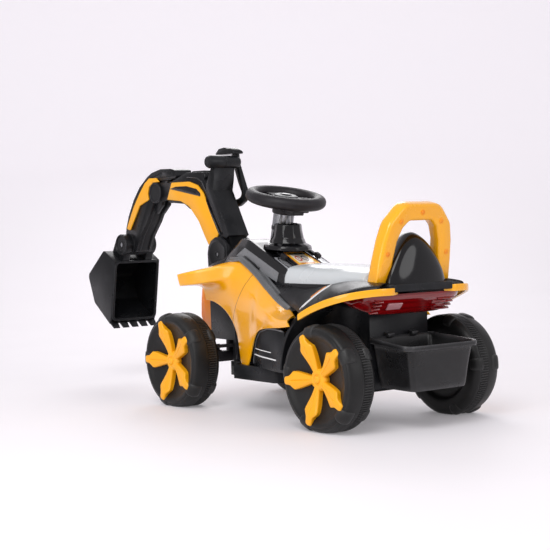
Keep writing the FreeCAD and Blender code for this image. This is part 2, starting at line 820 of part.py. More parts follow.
def wheel_profile():
    bore = size("dims.axle_radius + dims.running_gap")
    inner, outer = -size_of("web_in"), size_of("web_out")
    edge = size_of("wheel_half_width")
    hub = size_of("hub_radius")
    wall = size_of("tyre_wall")
    lip = 64
    inside = [
        (bore, inner),
        (hub, inner),
        (hub, outer - wall),
        (83, outer - wall),
        (89, edge - 9),
        (RADIUS - 9, edge - 9),
        (RADIUS - wall - 1, 0),
        (RADIUS - 8, inner),
        (lip + 10, inner),
        (lip + 5, inner + wall),
        (lip, inner + wall),
    ]
    outside = [
        (lip, inner),
        (lip + 6, -edge, 5),
        (RADIUS - 2, -edge, 12),
        (RADIUS, 0),
        (RADIUS - 3, edge - 4, 12),
        (92, edge - 3, 4),
        (86, outer),
        (bore, outer),
    ]
    return inside + outside


def star_outline():
    """Five leaf-shaped arms, one of them pointing forward."""
    tip = size_of("star_radius")
    arm = ((24, 17), (44, 15.5), (60, 15), (74, 12.5), (84, 7.5), (tip, 4.6))
    points = []
    for i in range(5):
        middle = 72 * i
        points += [polar((0, 0), r, middle - spread) for r, spread in arm]
        points += [polar((0, 0), r, middle + spread) for r, spread in reversed(arm)]
    return points


def make_wheel(name, x, side):
    tyre_body = doc.addObject("PartDesign::Body", f"{name}_body")
    sketch = add_sketch(tyre_body, f"{name}_tyre", "plan", [wheel_profile()])
    turn = tyre_body.newObject("PartDesign::Revolution", f"{name}_turn")
    turn.Profile = sketch
    turn.ReferenceAxis = (sketch, ["V_Axis"])
    turn.Angle = 360
    hub_y = side * size_of("wheel_middle_y")
    swing = FreeCAD.Rotation(Vector(0, 0, 1), 0 if side > 0 else 180)
    spot = FreeCAD.Placement(Vector(x, hub_y, RADIUS), swing)
    tyre_body.Placement = spot
    tyre_body.Label = f"{name}_tyre"
    tyre_body.setExpression("Placement.Base.x", f"{x} - dims.middle_x")
    nodes.append(tyre_body)
    star = extrude(
        f"{name}_star_plate", "side", [star_outline()], "dims.web_out + 0.1",
        "dims.web_out + dims.star_thick",
    )
    boss = across(
        f"{name}_star_boss", (0, 0), "25", "dims.web_out + 0.1", "dims.web_out + dims.star_thick",
    )
    pocket = across(f"{name}_star_pocket", (0, 0), "dims.nut_radius + 1", "dims.web_out - 1", "34")
    whole = cut(f"{name}_star_cut", fuse(f"{name}_star_solid", star, boss), pocket)
    whole.Placement = spot
    whole.Label = f"{name}_hub_star"
    whole.setExpression("Placement.Base.x", f"{x} - dims.middle_x")
    nodes.append(whole)


# ---------------------------------------------------------------- steering and controls


def tilted(shape, x, z):
    """Stands a piece drawn about +Z on the steering axis at a given point of the centre plane."""
    shape.Placement = FreeCAD.Placement(
        Vector(x, 0, z), FreeCAD.Rotation(Vector(0, 1, 0), -size_of("column_tilt"))
    )
    return shape


def steering_parts():
    x, z = size_of("rim_x"), size_of("rim_z")
    ring = doc.addObject("Part::Torus", "rim_ring")
    ring.setExpression("Radius1", "dims.rim_radius")
    ring.setExpression("Radius2", "dims.rim_section")
    spokes = []
    for i, angle in enumerate((90, 210, 330)):
        spoke = block(f"rim_spoke_{i}", (18, -13, -9), (72, 13, 3))
        spoke.Placement = FreeCAD.Placement(
            Vector(0, 0, 0), FreeCAD.Rotation(Vector(0, 0, 1), angle - 90)
        ).multiply(FreeCAD.Placement(Vector(18, -13, -9), FreeCAD.Rotation()))
        spokes.append(spoke)
    hub = cylinder("rim_hub", (0, 0, -34), (0, 0, 1), "26", "34")
    recess = cylinder("rim_hub_recess", (0, 0, -12), (0, 0, 1), "15", "20")
    bore = cylinder("rim_bore", (0, 0, -60), (0, 0, 1), "dims.shaft_radius + 0.3", "50")
    rim = cut("rim", fuse("rim_solid", ring, hub, *spokes), recess, bore)
    finish_on_axis("steering_rim", rim, x, z)
    cover = cylinder("cover_disc", (0, 0, 3.1), (0, 0, 1), "27", "5")
    opening = cylinder("cover_opening", (0, 0, -5), (0, 0, 1), "13", "20")
    finish_on_axis("steering_hub_cover", cut("cover", cover, opening), x, z)
    button = cylinder("horn_disc", (0, 0, -5), (0, 0, 1), "12", "15.5")
    finish_on_axis("horn_button", button, x, z)
    sleeve = cylinder("column_sleeve", (0, 0, -98), (0, 0, 1), "24", "63.5")
    steel = cylinder("column_steel", (0, 0, -326), (0, 0, 1), "dims.shaft_radius", "309")
    drop = size_of("drop_arm")
    arm = block("drop_arm_bar", (-drop - 6, -7, -326), (0, 7, -319))
    peg = cylinder("drop_arm_peg", (-drop, 0, -350), (0, 0, 1), "3.5", "26")
    finish_on_axis("steering_shaft", fuse("column", sleeve, steel, arm, peg), x, z)


def finish_on_axis(label, shape, x, z):
    tilted(shape, x, z)
    shape.Label = label
    shape.setExpression("Placement.Base.x", f"{x} - dims.middle_x")
    nodes.append(shape)


def small_controls():
    finish("power_switch", rocker_key("power_key", 1))
    finish("direction_switch", rocker_key("direction_key", -1))


# ---------------------------------------------------------------- digging arm


BOOM_OUTLINE = [
    (529, 352),
    (541, 398, 8),
    (607, 490),
    (641, 531, 10),
    (649, 551, 4),
    (720, 552, 10),
    (765, 538),
    (790, 530),
    (STICK[0], 531, 18),
    (882, 506, 18),
    (STICK[0], 481, 18),
    (806, 486),
    (717, 481, 20),
    (674, 459, 20),
    (646, 421, 20),
    (624, 374, 10),
    (606, 345, 10),
    (BOOM[0], 312, 24),
]
BOOM_CAVITY = [
    (545, 356),
    (552, 392),
    (606, 476),
    (641, 522),
    (654, 545),
    (718, 546),
    (762, 533),
    (790, 525),
    (840, 528),
    (884, 540),
    (900, 460),
    (806, 470),
    (806, 491),
    (714, 487),
    (669, 464),
    (640, 424),
    (618, 378),
    (592, 350),
]


def boom_parts():
    body = extrude("boom_solid", "side", [BOOM_OUTLINE], "-dims.boom_half", "dims.boom_half")
    plate_outline = [
        (534, 396), (548, 388), (622, 492), (624, 520), (612, 542), (602, 560), (586, 566), (590, 530),
        (596, 505),
    ]
    plate = extrude("boom_plate", "side", [plate_outline], "-dims.plate_half", "dims.plate_half")
    foot = across("boom_foot", BOOM, "36", "-dims.plate_half", "dims.plate_half")
    inside = "dims.boom_half - 5"
    cavity = extrude("boom_hollow", "side", [BOOM_CAVITY], f"-({inside})", inside)
    grip_seat = across("boom_grip_seat", (593, 574), "dims.grip_radius + 0.2", "-60", "60")
    pins = [
        across("boom_foot_bore", BOOM, "dims.arm_pin_radius + dims.running_gap", "-60", "60"),
        across("boom_stick_bore", STICK, "dims.arm_pin_radius", "-60", "60"),
        across("boom_lever_bore", LEVER, "6 + dims.running_gap", "-60", "-10"),
    ]
    frame = cut("boom", fuse("boom_all", body, plate, foot), cavity, grip_seat, *pins)
    finish("boom_frame", frame)
    panel = [
        (584, 400, 6), (616, 450), (644, 500), (668, 521, 8), (697, 530, 10), (784, 528), (806, 487),
        (717, 482, 20), (674, 460, 20), (646, 422, 20), (624, 376, 8), (604, 372, 8),
    ]
    left = extrude(
        "panel_left", "side", [panel], "dims.boom_half + 0.05", "dims.boom_half + dims.panel_thick",
    )
    finish("boom_panel_left", left)
    hub_gap = across("panel_hub_gap", LEVER, "13", "-40", "0")
    right = extrude(
        "panel_right", "side", [panel], "-dims.boom_half - dims.panel_thick", "-dims.boom_half - 0.05",
    )
    finish("boom_panel_right", cut("panel_right_cut", right, hub_gap))
    cap = [(650, 553.2), (721, 554, 4), (748, 545.5), (750, 551), (724, 561, 10), (652, 560, 6)]
    finish("boom_fairing", extrude("fairing_cap", "side", [cap], "-dims.boom_half", "dims.boom_half"))
    bar = across("grip_drum", (593, 574), "dims.grip_radius", "-dims.grip_half", "dims.grip_half")
    finish("grip_bar", bar)
    pin = across("boom_pin_bar", BOOM, "dims.arm_pin_radius", "-dims.cheek_high", "dims.cheek_high")
    finish("boom_pivot_pin", pin)


def lever_parts():
    """Loop lever on the right of the boom, its hidden crank, and the rod to the stick."""
    strap = [
        (630, 462), (600, 466, 8), (576, 478, 14), (568, 496, 10), (584, 530), (603, 572),
        (606, 596), (620, 612, 8), (640, 608, 8), (640, 594), (622, 592, 6), (618, 566),
        (600, 524), (586, 498, 8), (592, 488, 6), (608, 482), (630, 486),
    ]
    loop = extrude("lever_strap", "side", [strap], "-60", "-50")
    pad_outline = [(606, 597), (614, 611, 8), (640, 608, 8), (652, 598), (630, 594)]
    thumb = extrude("lever_thumb", "side", [pad_outline], "-52", "-22")
    hub = across("lever_hub", LEVER, "12", "-60", "-dims.plate_half - 1")
    shaft = across("lever_shaft", LEVER, "6", "-60", "-7")
    u, n = rod_directions()
    crank = size_of("crank")
    top = (LEVER[0] + n[0] * crank, LEVER[1] + n[1] * crank)
    arm = [
        (LEVER[0] - 6 * u[0], LEVER[1] - 6 * u[1]), (LEVER[0] + 6 * u[0], LEVER[1] + 6 * u[1]),
        (top[0] + 4 * u[0], top[1] + 4 * u[1]), (top[0] - 4 * u[0], top[1] - 4 * u[1]),
    ]
    arm_plate = extrude("lever_crank", "side", [arm], "-14", "-6")
    peg = across("lever_peg", top, "3", "-10", "6")
    finish("dig_lever", fuse("lever", loop, thumb, hub, shaft, arm_plate, peg))

    end = (STICK[0] + n[0] * crank, STICK[1] + n[1] * crank)

    def along(point, forward, upward):
        return (point[0] + forward * u[0] + upward * n[0], point[1] + forward * u[1] + upward * n[1])

    bar = [along(top, -5.5, -7.5), along(end, 7, -7.5), along(end, 7, 5.2), along(top, -5.5, 5.2)]
    slots = [
        [along(p, -4, -6), along(p, 4.5, -6), along(p, 4.5, 3.6), along(p, -4, 3.6)]
        for p in (top, end)
    ]
    finish("drag_link", extrude("link", "side", [bar] + slots, "-dims.link_half", "dims.link_half"))


def rod_directions():
    """Unit directions along and square to the line from the lever's pivot to the stick's."""
    run = math.hypot(STICK[0] - LEVER[0], STICK[1] - LEVER[1])
    u = ((STICK[0] - LEVER[0]) / run, (STICK[1] - LEVER[1]) / run)
    return u, (-u[1], u[0])


def stick_parts():
    outline = [
        (758, 548), (786, 536), (840, 536), STICK, (854, 476), (847, 455), (884, 390, 10), (966, 352),
        (1000, 346), (1024, 380), (1006, 416), (990, 455), (966, 490), (936, 522, 16), (902, 545),
    ]
    body = extrude("stick_solid", "side", [outline], "-dims.boom_half", "dims.boom_half")
    clear = across("stick_boss_gap", STICK, "29.5", "-40", "40")
    drum_gap = across("stick_drum_gap", BUCKET, "31", "-40", "40")
    tongue_outline = [*arc_points(STICK, 20, 60, 220, 7), (838, 472), (846, 452), (872, 440), (900, 486)]
    tongue = extrude("stick_tongue", "side", [tongue_outline], "-dims.tongue_half", "dims.tongue_half")
    hub = across("stick_hub", BUCKET, "25", "-22", "22")
    neck_outline = [(966, 384), (990, 350), (1018, 378), (1000, 412)]
    neck = extrude("stick_neck", "side", [neck_outline], "-22", "22")
    u, n = rod_directions()
    crank = size_of("crank")
    top = (STICK[0] + n[0] * crank, STICK[1] + n[1] * crank)
    rod_gap = extrude("stick_rod_gap", "side", [arc_points(STICK, 27.9, 0, 350, 15)], "-6", "6")
    peg = across("stick_peg", top, "3", "-10", "10")
    pins = [
        across("stick_bore", STICK, "dims.arm_pin_radius + dims.running_gap", "-30", "30"),
        across("stick_bucket_bore", BUCKET, "dims.arm_pin_radius + dims.running_gap", "-30", "30"),
    ]
    channel_outline = [
        (902, 524), (930, 506), (957, 478), (978, 444), (988, 412), (966, 396), (880, 372), (830, 452),
        (886, 500),
    ]
    channel = extrude(
        "stick_channel", "side", [channel_outline], "-dims.boom_half + 5", "dims.boom_half - 5",
    )
    block_body = cut("stick_block", body, clear, drum_gap, channel)
    solid = cut("stick_cutout", fuse("stick_all", block_body, tongue, hub, neck), rod_gap, *pins)
    finish("stick_frame", fuse("stick", solid, peg))
    panel = [
        (892, 536, 10), (930, 520, 14), (962, 484), (984, 446), (994, 414, 8), (960, 408, 8),
        (912, 470), (884, 500, 8),
    ]
    finish_pair(
        "stick_panel",
        extrude(
            "stick_cover", "side", [panel], "dims.boom_half + 0.05",
            "dims.boom_half + dims.panel_thick",
        ),
    )
    cap = [(757, 549.6), (903, 549.6), (906, 552), (862, 565, 10), (815, 567, 10), (770, 563, 6)]
    finish(
        "stick_fairing",
        extrude("stick_cap", "side", [cap], "-dims.boom_half - 1", "dims.boom_half + 1"),
    )
    pin = across("stick_pin_bar", STICK, "dims.arm_pin_radius", "-dims.boom_half", "dims.boom_half")
    finish("stick_pivot_pin", pin)


def bucket_parts():
    outer = [(996, 328), (1050, 358, 12), (1136, 290, 14), (1106, 216, 20), (1030, 162), (1022, 176)]
    shell = extrude("bucket_outer", "side", [outer], "-dims.bucket_half", "dims.bucket_half")
    hollow_outline = [
        (980, 330), (1001, 325), (1048, 351, 10), (1129, 288, 10), (1101, 220, 16), (1022, 164),
        (990, 170),
    ]
    inside = "dims.bucket_half - dims.bucket_wall"
    hollow = extrude("bucket_hollow", "side", [hollow_outline], f"-({inside})", inside)
    shell_cut = cut("bucket_shell_cut", shell, hollow)
    lug = [(996, 327), (986, 352), (1010, 398), (1030, 380), (1046, 354), (1020, 338)]
    lugs, drums = [], []
    for name, low, high in (("left", "24.6", "45"), ("right", "-45", "-24.6")):
        lugs.append(extrude(f"bucket_lug_{name}", "side", [lug], low, high))
        drums.append(across(f"bucket_drum_{name}", BUCKET, "28", low, high))
    teeth = []
    tooth = [(1052, 182), (1044, 170), (1012, 150), (1024, 166)]
    for i in range(5):
        y = -68 + 29 * i
        teeth.append(extrude(f"bucket_tooth_{i}", "side", [tooth], str(y), str(y + 20)))
    solid = fuse("bucket_all", shell_cut, *lugs, *drums, *teeth)
    bore = across("bucket_bore", BUCKET, "dims.arm_pin_radius", "-60", "60")
    finish("bucket_shell", cut("bucket", solid, bore))
    finish("bucket_pin", across("bucket_pin_bar", BUCKET, "dims.arm_pin_radius", "-45", "45"))


# ---------------------------------------------------------------- assembly


def build():
    chassis_tub()
    floor_tray()
    front_fascia()
    side_fairings()
    hood_cover()
    dash_plate()
    steering_boot()
    seat_saddle()
    rear_deck()
    rear_fenders()
    fender_trims()
    tail_lamp_bar()
    tail_reflectors()
    backrest()
    back_hoop()
    rear_basket()
    arm_bracket()
    rear_axle()
    drive_unit()
    battery()
    front_axle_beam()
    knuckle("left", 1)
    knuckle("right", -1)
    tie_rod()
    for name, x, side in (
        ("front_left", WHEELBASE, 1),
        ("front_right", WHEELBASE, -1),
        ("rear_left", 0.0, 1),
        ("rear_right", 0.0, -1),
    ):
        make_wheel(name, x, side)
    steering_parts()
    small_controls()
    boom_parts()
    lever_parts()
    stick_parts()
    bucket_parts()


def check_and_write():
    doc.recompute()
    for obj in doc.Objects:
        if "Invalid" in obj.State or "Error" in obj.State:
            raise RuntimeError(f"{obj.Name} failed: {obj.State}")
    os.makedirs("parts", exist_ok=True)
    whole = FreeCAD.BoundBox()
    for node in nodes:
        shape = node.Shape
        if shape.isNull() or not shape.isValid() or not shape.Solids:
            raise RuntimeError(f"{node.Label} is not a valid solid")
        shape.exportStep(f"parts/{node.Label}.step")
        whole.add(shape.BoundBox)
    print(f"{len(nodes)} sub-parts, box {whole}")


build()
check_and_write()
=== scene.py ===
"""Looks of a child's ride-on digger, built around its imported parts.

Points are given in millimetres from the middle of the rear axle on the ground:
X forward, Y to the left, Z up. at() turns them into metres in the row frame.
"""

import math

import bmesh
import bpy
from mathutils import Matrix, Vector
from mathutils.bvhtree import BVHTree


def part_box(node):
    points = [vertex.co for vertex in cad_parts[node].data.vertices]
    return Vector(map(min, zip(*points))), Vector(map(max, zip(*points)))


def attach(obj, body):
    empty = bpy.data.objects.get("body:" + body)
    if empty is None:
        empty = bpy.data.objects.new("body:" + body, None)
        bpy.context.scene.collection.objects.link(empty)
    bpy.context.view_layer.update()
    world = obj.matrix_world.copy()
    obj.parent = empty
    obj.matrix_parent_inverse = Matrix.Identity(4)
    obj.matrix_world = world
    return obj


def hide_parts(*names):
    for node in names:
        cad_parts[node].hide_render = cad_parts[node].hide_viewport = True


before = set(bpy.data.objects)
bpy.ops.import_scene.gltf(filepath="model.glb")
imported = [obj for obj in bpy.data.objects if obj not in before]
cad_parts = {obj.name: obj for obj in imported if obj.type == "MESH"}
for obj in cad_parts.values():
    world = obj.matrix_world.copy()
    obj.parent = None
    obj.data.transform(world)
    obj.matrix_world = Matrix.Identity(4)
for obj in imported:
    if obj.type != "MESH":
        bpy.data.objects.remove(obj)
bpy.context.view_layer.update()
SCENE = bpy.context.scene

axle_low, axle_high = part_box("rear_axle")
AXLE_X = (axle_low.x + axle_high.x) / 2
WHEEL_RADIUS = 110.0
WHEELBASE = 530.0
WHEEL_MIDDLE = 179.0
BOOM_PIVOT = (567.0, 351.0)
STICK_PIVOT = (857.0, 506.0)
BUCKET_PIVOT = (1000.0, 372.0)
RIM_CENTRE = (349.0, 480.0)
COLUMN_TILT = 13.0
HOOP_LEAN = 12.0
NUT_TUCK = 9.5
SIDES = ((1, "left"), (-1, "right"))


def at(x, y, z):
    return Vector((AXLE_X + x / 1000, y / 1000, z / 1000))


# ------------------------------------------------------------------ finishes


def linear(red, green, blue):
    """Scene colour of an eight-bit display colour."""
    def one(value):
        value /= 255
        return value / 12.92 if value <= 0.04045 else ((value + 0.055) / 1.055) ** 2.4

    return (one(red), one(green), one(blue), 1.0)


def put(tree, kind, props=None, **values):
    """Adds a node, sets its properties, and sets or links its inputs by name."""
    node = tree.nodes.new(kind)
    for key, value in (props or {}).items():
        setattr(node, key, value)
    for key, value in values.items():
        socket = node.inputs[int(key[1:])] if key[0] == "_" else node.inputs[key.replace("_", " ")]
        if isinstance(value, bpy.types.NodeSocket):
            tree.links.new(value, socket)
        else:
            socket.default_value = value
    return node


def sum_of(tree, operation, *values):
    """Result of one Math node."""
    node = put(tree, "ShaderNodeMath", {"operation": operation})
    for socket, value in zip(node.inputs, values):
        if isinstance(value, bpy.types.NodeSocket):
            tree.links.new(value, socket)
        else:
            socket.default_value = value
    return node.outputs[0]


def mix_colour(tree, share, first, second):
    node = put(tree, "ShaderNodeMix", {"data_type": "RGBA"})
    for socket, value in ((node.inputs[0], share), (node.inputs[6], first), (node.inputs[7], second)):
        if isinstance(value, bpy.types.NodeSocket):
            tree.links.new(value, socket)
        else:
            socket.default_value = value
    return node.outputs[2]


def new_group(name, inputs, outputs):
    tree = bpy.data.node_groups.new(name, "ShaderNodeTree")
    for label, kind, start in inputs:
        socket = tree.interface.new_socket(label, in_out="INPUT", socket_type=kind)
        socket.default_value = start
    for label, kind in outputs:
        tree.interface.new_socket(label, in_out="OUTPUT", socket_type=kind)
    return tree, tree.nodes.new("NodeGroupInput").outputs, tree.nodes.new("NodeGroupOutput").inputs


FLOAT = "NodeSocketFloat"


def mould_grain_group():
    """Fine spark-eroded grain of a moulding, with slow changes in gloss."""
    tree, given, out = new_group(
        "mould grain",
        [("Grain Size", FLOAT, 900.0), ("Gloss Low", FLOAT, 0.2), ("Gloss High", FLOAT, 0.3)],
        [("Height", FLOAT), ("Roughness", FLOAT)],
    )
    spot = put(tree, "ShaderNodeTexCoord").outputs["Object"]
    fine = put(tree, "ShaderNodeTexNoise", Vector=spot, Scale=given["Grain Size"], Detail=2.0)
    pits = put(tree, "ShaderNodeTexVoronoi", Vector=spot, Scale=given["Grain Size"])
    height = sum_of(tree, "MULTIPLY_ADD", pits.outputs["Distance"], 0.5, fine.outputs["Fac"])
    slow = put(tree, "ShaderNodeTexNoise", Vector=spot, Scale=14.0, Detail=4.0)
    gloss = put(
        tree, "ShaderNodeMapRange", Value=slow.outputs["Fac"], From_Min=0.35, From_Max=0.65,
        To_Min=given["Gloss Low"], To_Max=given["Gloss High"],
    )
    tree.links.new(height, out["Height"])
    tree.links.new(gloss.outputs["Result"], out["Roughness"])
    return tree


def handling_group():
    """Rubbed edges and faint dust, as masks."""
    tree, given, out = new_group(
        "handling marks",
        [("Edge Start", FLOAT, 0.515), ("Edge End", FLOAT, 0.56), ("Dust Size", FLOAT, 22.0)],
        [("Edge", FLOAT), ("Dust", FLOAT)],
    )
    geometry = put(tree, "ShaderNodeNewGeometry")
    edge = put(
        tree, "ShaderNodeMapRange", Value=geometry.outputs["Pointiness"],
        From_Min=given["Edge Start"], From_Max=given["Edge End"],
    )
    spot = put(tree, "ShaderNodeTexCoord").outputs["Object"]
    cloud = put(
        tree, "ShaderNodeTexNoise", Vector=spot, Scale=given["Dust Size"], Detail=6.0, Roughness=0.62,
    )
    dust = put(tree, "ShaderNodeMapRange", Value=cloud.outputs["Fac"], From_Min=0.48, From_Max=0.75)
    broken = sum_of(tree, "MULTIPLY", edge.outputs["Result"], cloud.outputs["Fac"])
    tree.links.new(broken, out["Edge"])
    tree.links.new(dust.outputs["Result"], out["Dust"])
    return tree


MOULD_GRAIN = mould_grain_group()
HANDLING = handling_group()


def new_material(name):
    material = bpy.data.materials.new(name)
    material.use_nodes = True
    return material, material.node_tree, material.node_tree.nodes["Principled BSDF"]


def surface(tree, shader, colour, rough, height=None, strength=0.0, distance=0.0004):
    """Joins colour, roughness and bump to a shader."""
    tree.links.new(colour, shader.inputs["Base Color"])
    tree.links.new(rough, shader.inputs["Roughness"])
    if height is not None:
        bump = put(tree, "ShaderNodeBump", Height=height, Strength=strength, Distance=distance)
        tree.links.new(bump.outputs["Normal"], shader.inputs["Normal"])


def group_node(tree, group, **values):
    node = tree.nodes.new("ShaderNodeGroup")
    node.node_tree = group
    for key, value in values.items():
        node.inputs[key.replace("_", " ")].default_value = value
    return node.outputs


def moulded_plastic(
    name, body, worn, dusty, gloss, grain, depth, coat=0.0, dust_share=0.25, specular=0.5, edit=None,
):
    """Coloured moulding: grain, uneven gloss, rubbed edges and light dust."""
    material, tree, shader = new_material(name)
    grain_out = group_node(tree, MOULD_GRAIN, Grain_Size=grain, Gloss_Low=gloss[0], Gloss_High=gloss[1])
    marks = group_node(tree, HANDLING)
    edged = mix_colour(tree, marks["Edge"], body, worn)
    share = sum_of(tree, "MULTIPLY", marks["Dust"], dust_share)
    colour = mix_colour(tree, share, edged, dusty)
    height = grain_out["Height"]
    rough = grain_out["Roughness"]
    if edit:
        colour, height, rough = edit(tree, colour, height, rough)
    surface(tree, shader, colour, rough, height, depth)
    shader.inputs["Coat Weight"].default_value = coat
    shader.inputs["Coat Roughness"].default_value = 0.08
    shader.inputs["Specular IOR Level"].default_value = specular
    return material


def split_line(tree, colour, height, rough):
    """Fine parting line across the side panel, between the wheel arch and the ridge."""
    spot = put(tree, "ShaderNodeTexCoord").outputs["Object"]
    axes = put(tree, "ShaderNodeSeparateXYZ", Vector=spot).outputs
    low, high = at(424, 0, 206), at(352, 0, 312)
    run = (high - low).normalized()
    across = sum_of(
        tree, "ADD",
        sum_of(tree, "MULTIPLY", sum_of(tree, "SUBTRACT", axes["X"], low.x), run.z),
        sum_of(tree, "MULTIPLY", sum_of(tree, "SUBTRACT", axes["Z"], low.z), -run.x),
    )
    near = put(
        tree, "ShaderNodeMapRange", Value=sum_of(tree, "ABSOLUTE", across), From_Min=0.0005,
        From_Max=0.0013,
    )
    away = near.outputs["Result"]
    dark = mix_colour(tree, away, linear(150, 96, 8), colour)
    return dark, sum_of(tree, "MULTIPLY_ADD", away, 3.0, height), rough


YELLOW = linear(250, 172, 2)
YELLOW_WORN = linear(252, 192, 40)
YELLOW_DUST = linear(246, 178, 20)
yellow = moulded_plastic("yellow_gloss", YELLOW, YELLOW_WORN, YELLOW_DUST, (0.2, 0.3), 900, 0.1, coat=0.35)
yellow_side = moulded_plastic(
    "yellow_side_panel", YELLOW, YELLOW_WORN, YELLOW_DUST, (0.16, 0.25), 900, 0.25, coat=0.5,
    edit=split_line
)
yellow_satin = moulded_plastic("yellow_satin", YELLOW, YELLOW_WORN, YELLOW_DUST, (0.34, 0.44), 1100, 0.25)
# Painted shade: a darker orange copy of the yellow moulding, used where the yellow stands in shadow (the front fascia)
# and in the hoop's sunk screw recesses.
shaded_yellow = moulded_plastic("yellow_painted_shade", linear(248, 126, 4), YELLOW, YELLOW_DUST, (0.3, 0.4), 900, 0.15)
BLACK_DUST = linear(86, 86, 90)
black_satin = moulded_plastic(
    "black_satin", linear(17, 18, 20), linear(46, 47, 50), BLACK_DUST, (0.26, 0.36), 1000, 0.3,
    dust_share=0.06, specular=0.22,
)
black_gloss = moulded_plastic(
    "black_gloss", linear(11, 11, 13), linear(44, 44, 48), BLACK_DUST, (0.1, 0.18), 900, 0.05,
    coat=0.25, dust_share=0.03, specular=0.3,
)
black_matte = moulded_plastic(
    "black_matte", linear(26, 24, 27), linear(56, 54, 57), BLACK_DUST, (0.4, 0.5), 1300, 0.5,
    dust_share=0.1, specular=0.3,
)
grey_satin = moulded_plastic(
    "grey_satin", linear(88, 90, 92), linear(150, 151, 154), linear(120, 120, 122), (0.26, 0.36), 1000, 0.25
)
tyre_black = moulded_plastic(
    "tyre_plastic", linear(22, 22, 22), linear(66, 66, 66), linear(70, 69, 68), (0.36, 0.48), 700, 0.5,
    dust_share=0.12, specular=0.3,
)
basket_black = moulded_plastic(
    "basket_plastic", linear(24, 24, 25), linear(84, 84, 86), BLACK_DUST, (0.24, 0.34), 800, 0.4,
    dust_share=0.06, specular=0.35,
)
seat_white = moulded_plastic(
    "seat_plastic", linear(200, 205, 207), linear(240, 242, 243), linear(200, 200, 198), (0.2, 0.3),
    900, 0.1,
    coat=0.3,
)
bonnet_black = moulded_plastic(
    "bonnet_plastic", linear(17, 17, 19), linear(66, 67, 70), BLACK_DUST, (0.18, 0.28), 900, 0.15,
    coat=0.2, dust_share=0.05, specular=0.3,
)
battery_grey = moulded_plastic(
    "battery_case", linear(70, 74, 80), linear(110, 112, 116), linear(130, 128, 124), (0.4, 0.5), 900, 0.3
)
stripe_white = moulded_plastic(
    "stripe_white", linear(240, 242, 243), linear(250, 250, 250), linear(214, 214, 210), (0.24, 0.32),
    900, 0.05
)
stripe_orange = moulded_plastic(
    "stripe_orange", linear(238, 130, 34), linear(250, 170, 80), linear(220, 150, 80), (0.24, 0.32),
    900, 0.05
)


def lamp_red():
    """Dark red lens with pale streaks that run along it."""
    material, tree, shader = new_material("red_lens")
    spot = put(tree, "ShaderNodeTexCoord").outputs["Object"]
    stretch = put(tree, "ShaderNodeMapping", Vector=spot, Scale=(1.0, 0.12, 4.0))
    streak = put(tree, "ShaderNodeTexNoise", Vector=stretch.outputs["Vector"], Scale=60.0, Detail=3.0)
    share = put(tree, "ShaderNodeMapRange", Value=streak.outputs["Fac"], From_Min=0.4, From_Max=0.7)
    colour = mix_colour(tree, share.outputs["Result"], linear(112, 2, 6), linear(150, 6, 12))
    grain_out = group_node(tree, MOULD_GRAIN, Grain_Size=500.0, Gloss_Low=0.08, Gloss_High=0.16)
    surface(tree, shader, colour, grain_out["Roughness"], grain_out["Height"], 0.08)
    shader.inputs["Coat Weight"].default_value = 0.6
    return material


def reflector_with_painted_highlight():
    """Reflector coloured pale pink as a painted highlight over its red, with a grid of tiny prisms."""
    material, tree, shader = new_material("reflector")
    spot = put(tree, "ShaderNodeTexCoord").outputs["Object"]
    cells = put(
        tree, "ShaderNodeTexVoronoi", {"distance": "MANHATTAN"}, Vector=spot, Scale=420.0, Randomness=0.0,
    )
    colour = mix_colour(tree, cells.outputs["Distance"], linear(226, 180, 182), linear(176, 116, 122))
    grain_out = group_node(tree, MOULD_GRAIN, Grain_Size=700.0, Gloss_Low=0.12, Gloss_High=0.2)
    surface(tree, shader, colour, grain_out["Roughness"], cells.outputs["Distance"], 0.5, 0.0008)
    return material


def brushed_steel():
    """Metal with fine brush marks and dull patches."""
    material, tree, shader = new_material("steel")
    spot = put(tree, "ShaderNodeTexCoord").outputs["Object"]
    stretch = put(tree, "ShaderNodeMapping", Vector=spot, Scale=(1.0, 9.0, 1.0))
    brush = put(tree, "ShaderNodeTexNoise", Vector=stretch.outputs["Vector"], Scale=260.0, Detail=4.0)
    marks = group_node(tree, HANDLING, Dust_Size=40.0)
    colour = mix_colour(tree, marks["Dust"], linear(176, 178, 182), linear(142, 140, 138))
    rough = put(tree, "ShaderNodeMapRange", Value=brush.outputs["Fac"], To_Min=0.24, To_Max=0.42)
    surface(tree, shader, colour, rough.outputs["Result"], brush.outputs["Fac"], 0.2, 0.0003)
    shader.inputs["Metallic"].default_value = 1.0
    return material


red_lens = lamp_red()
reflector = reflector_with_painted_highlight()
steel = brushed_steel()


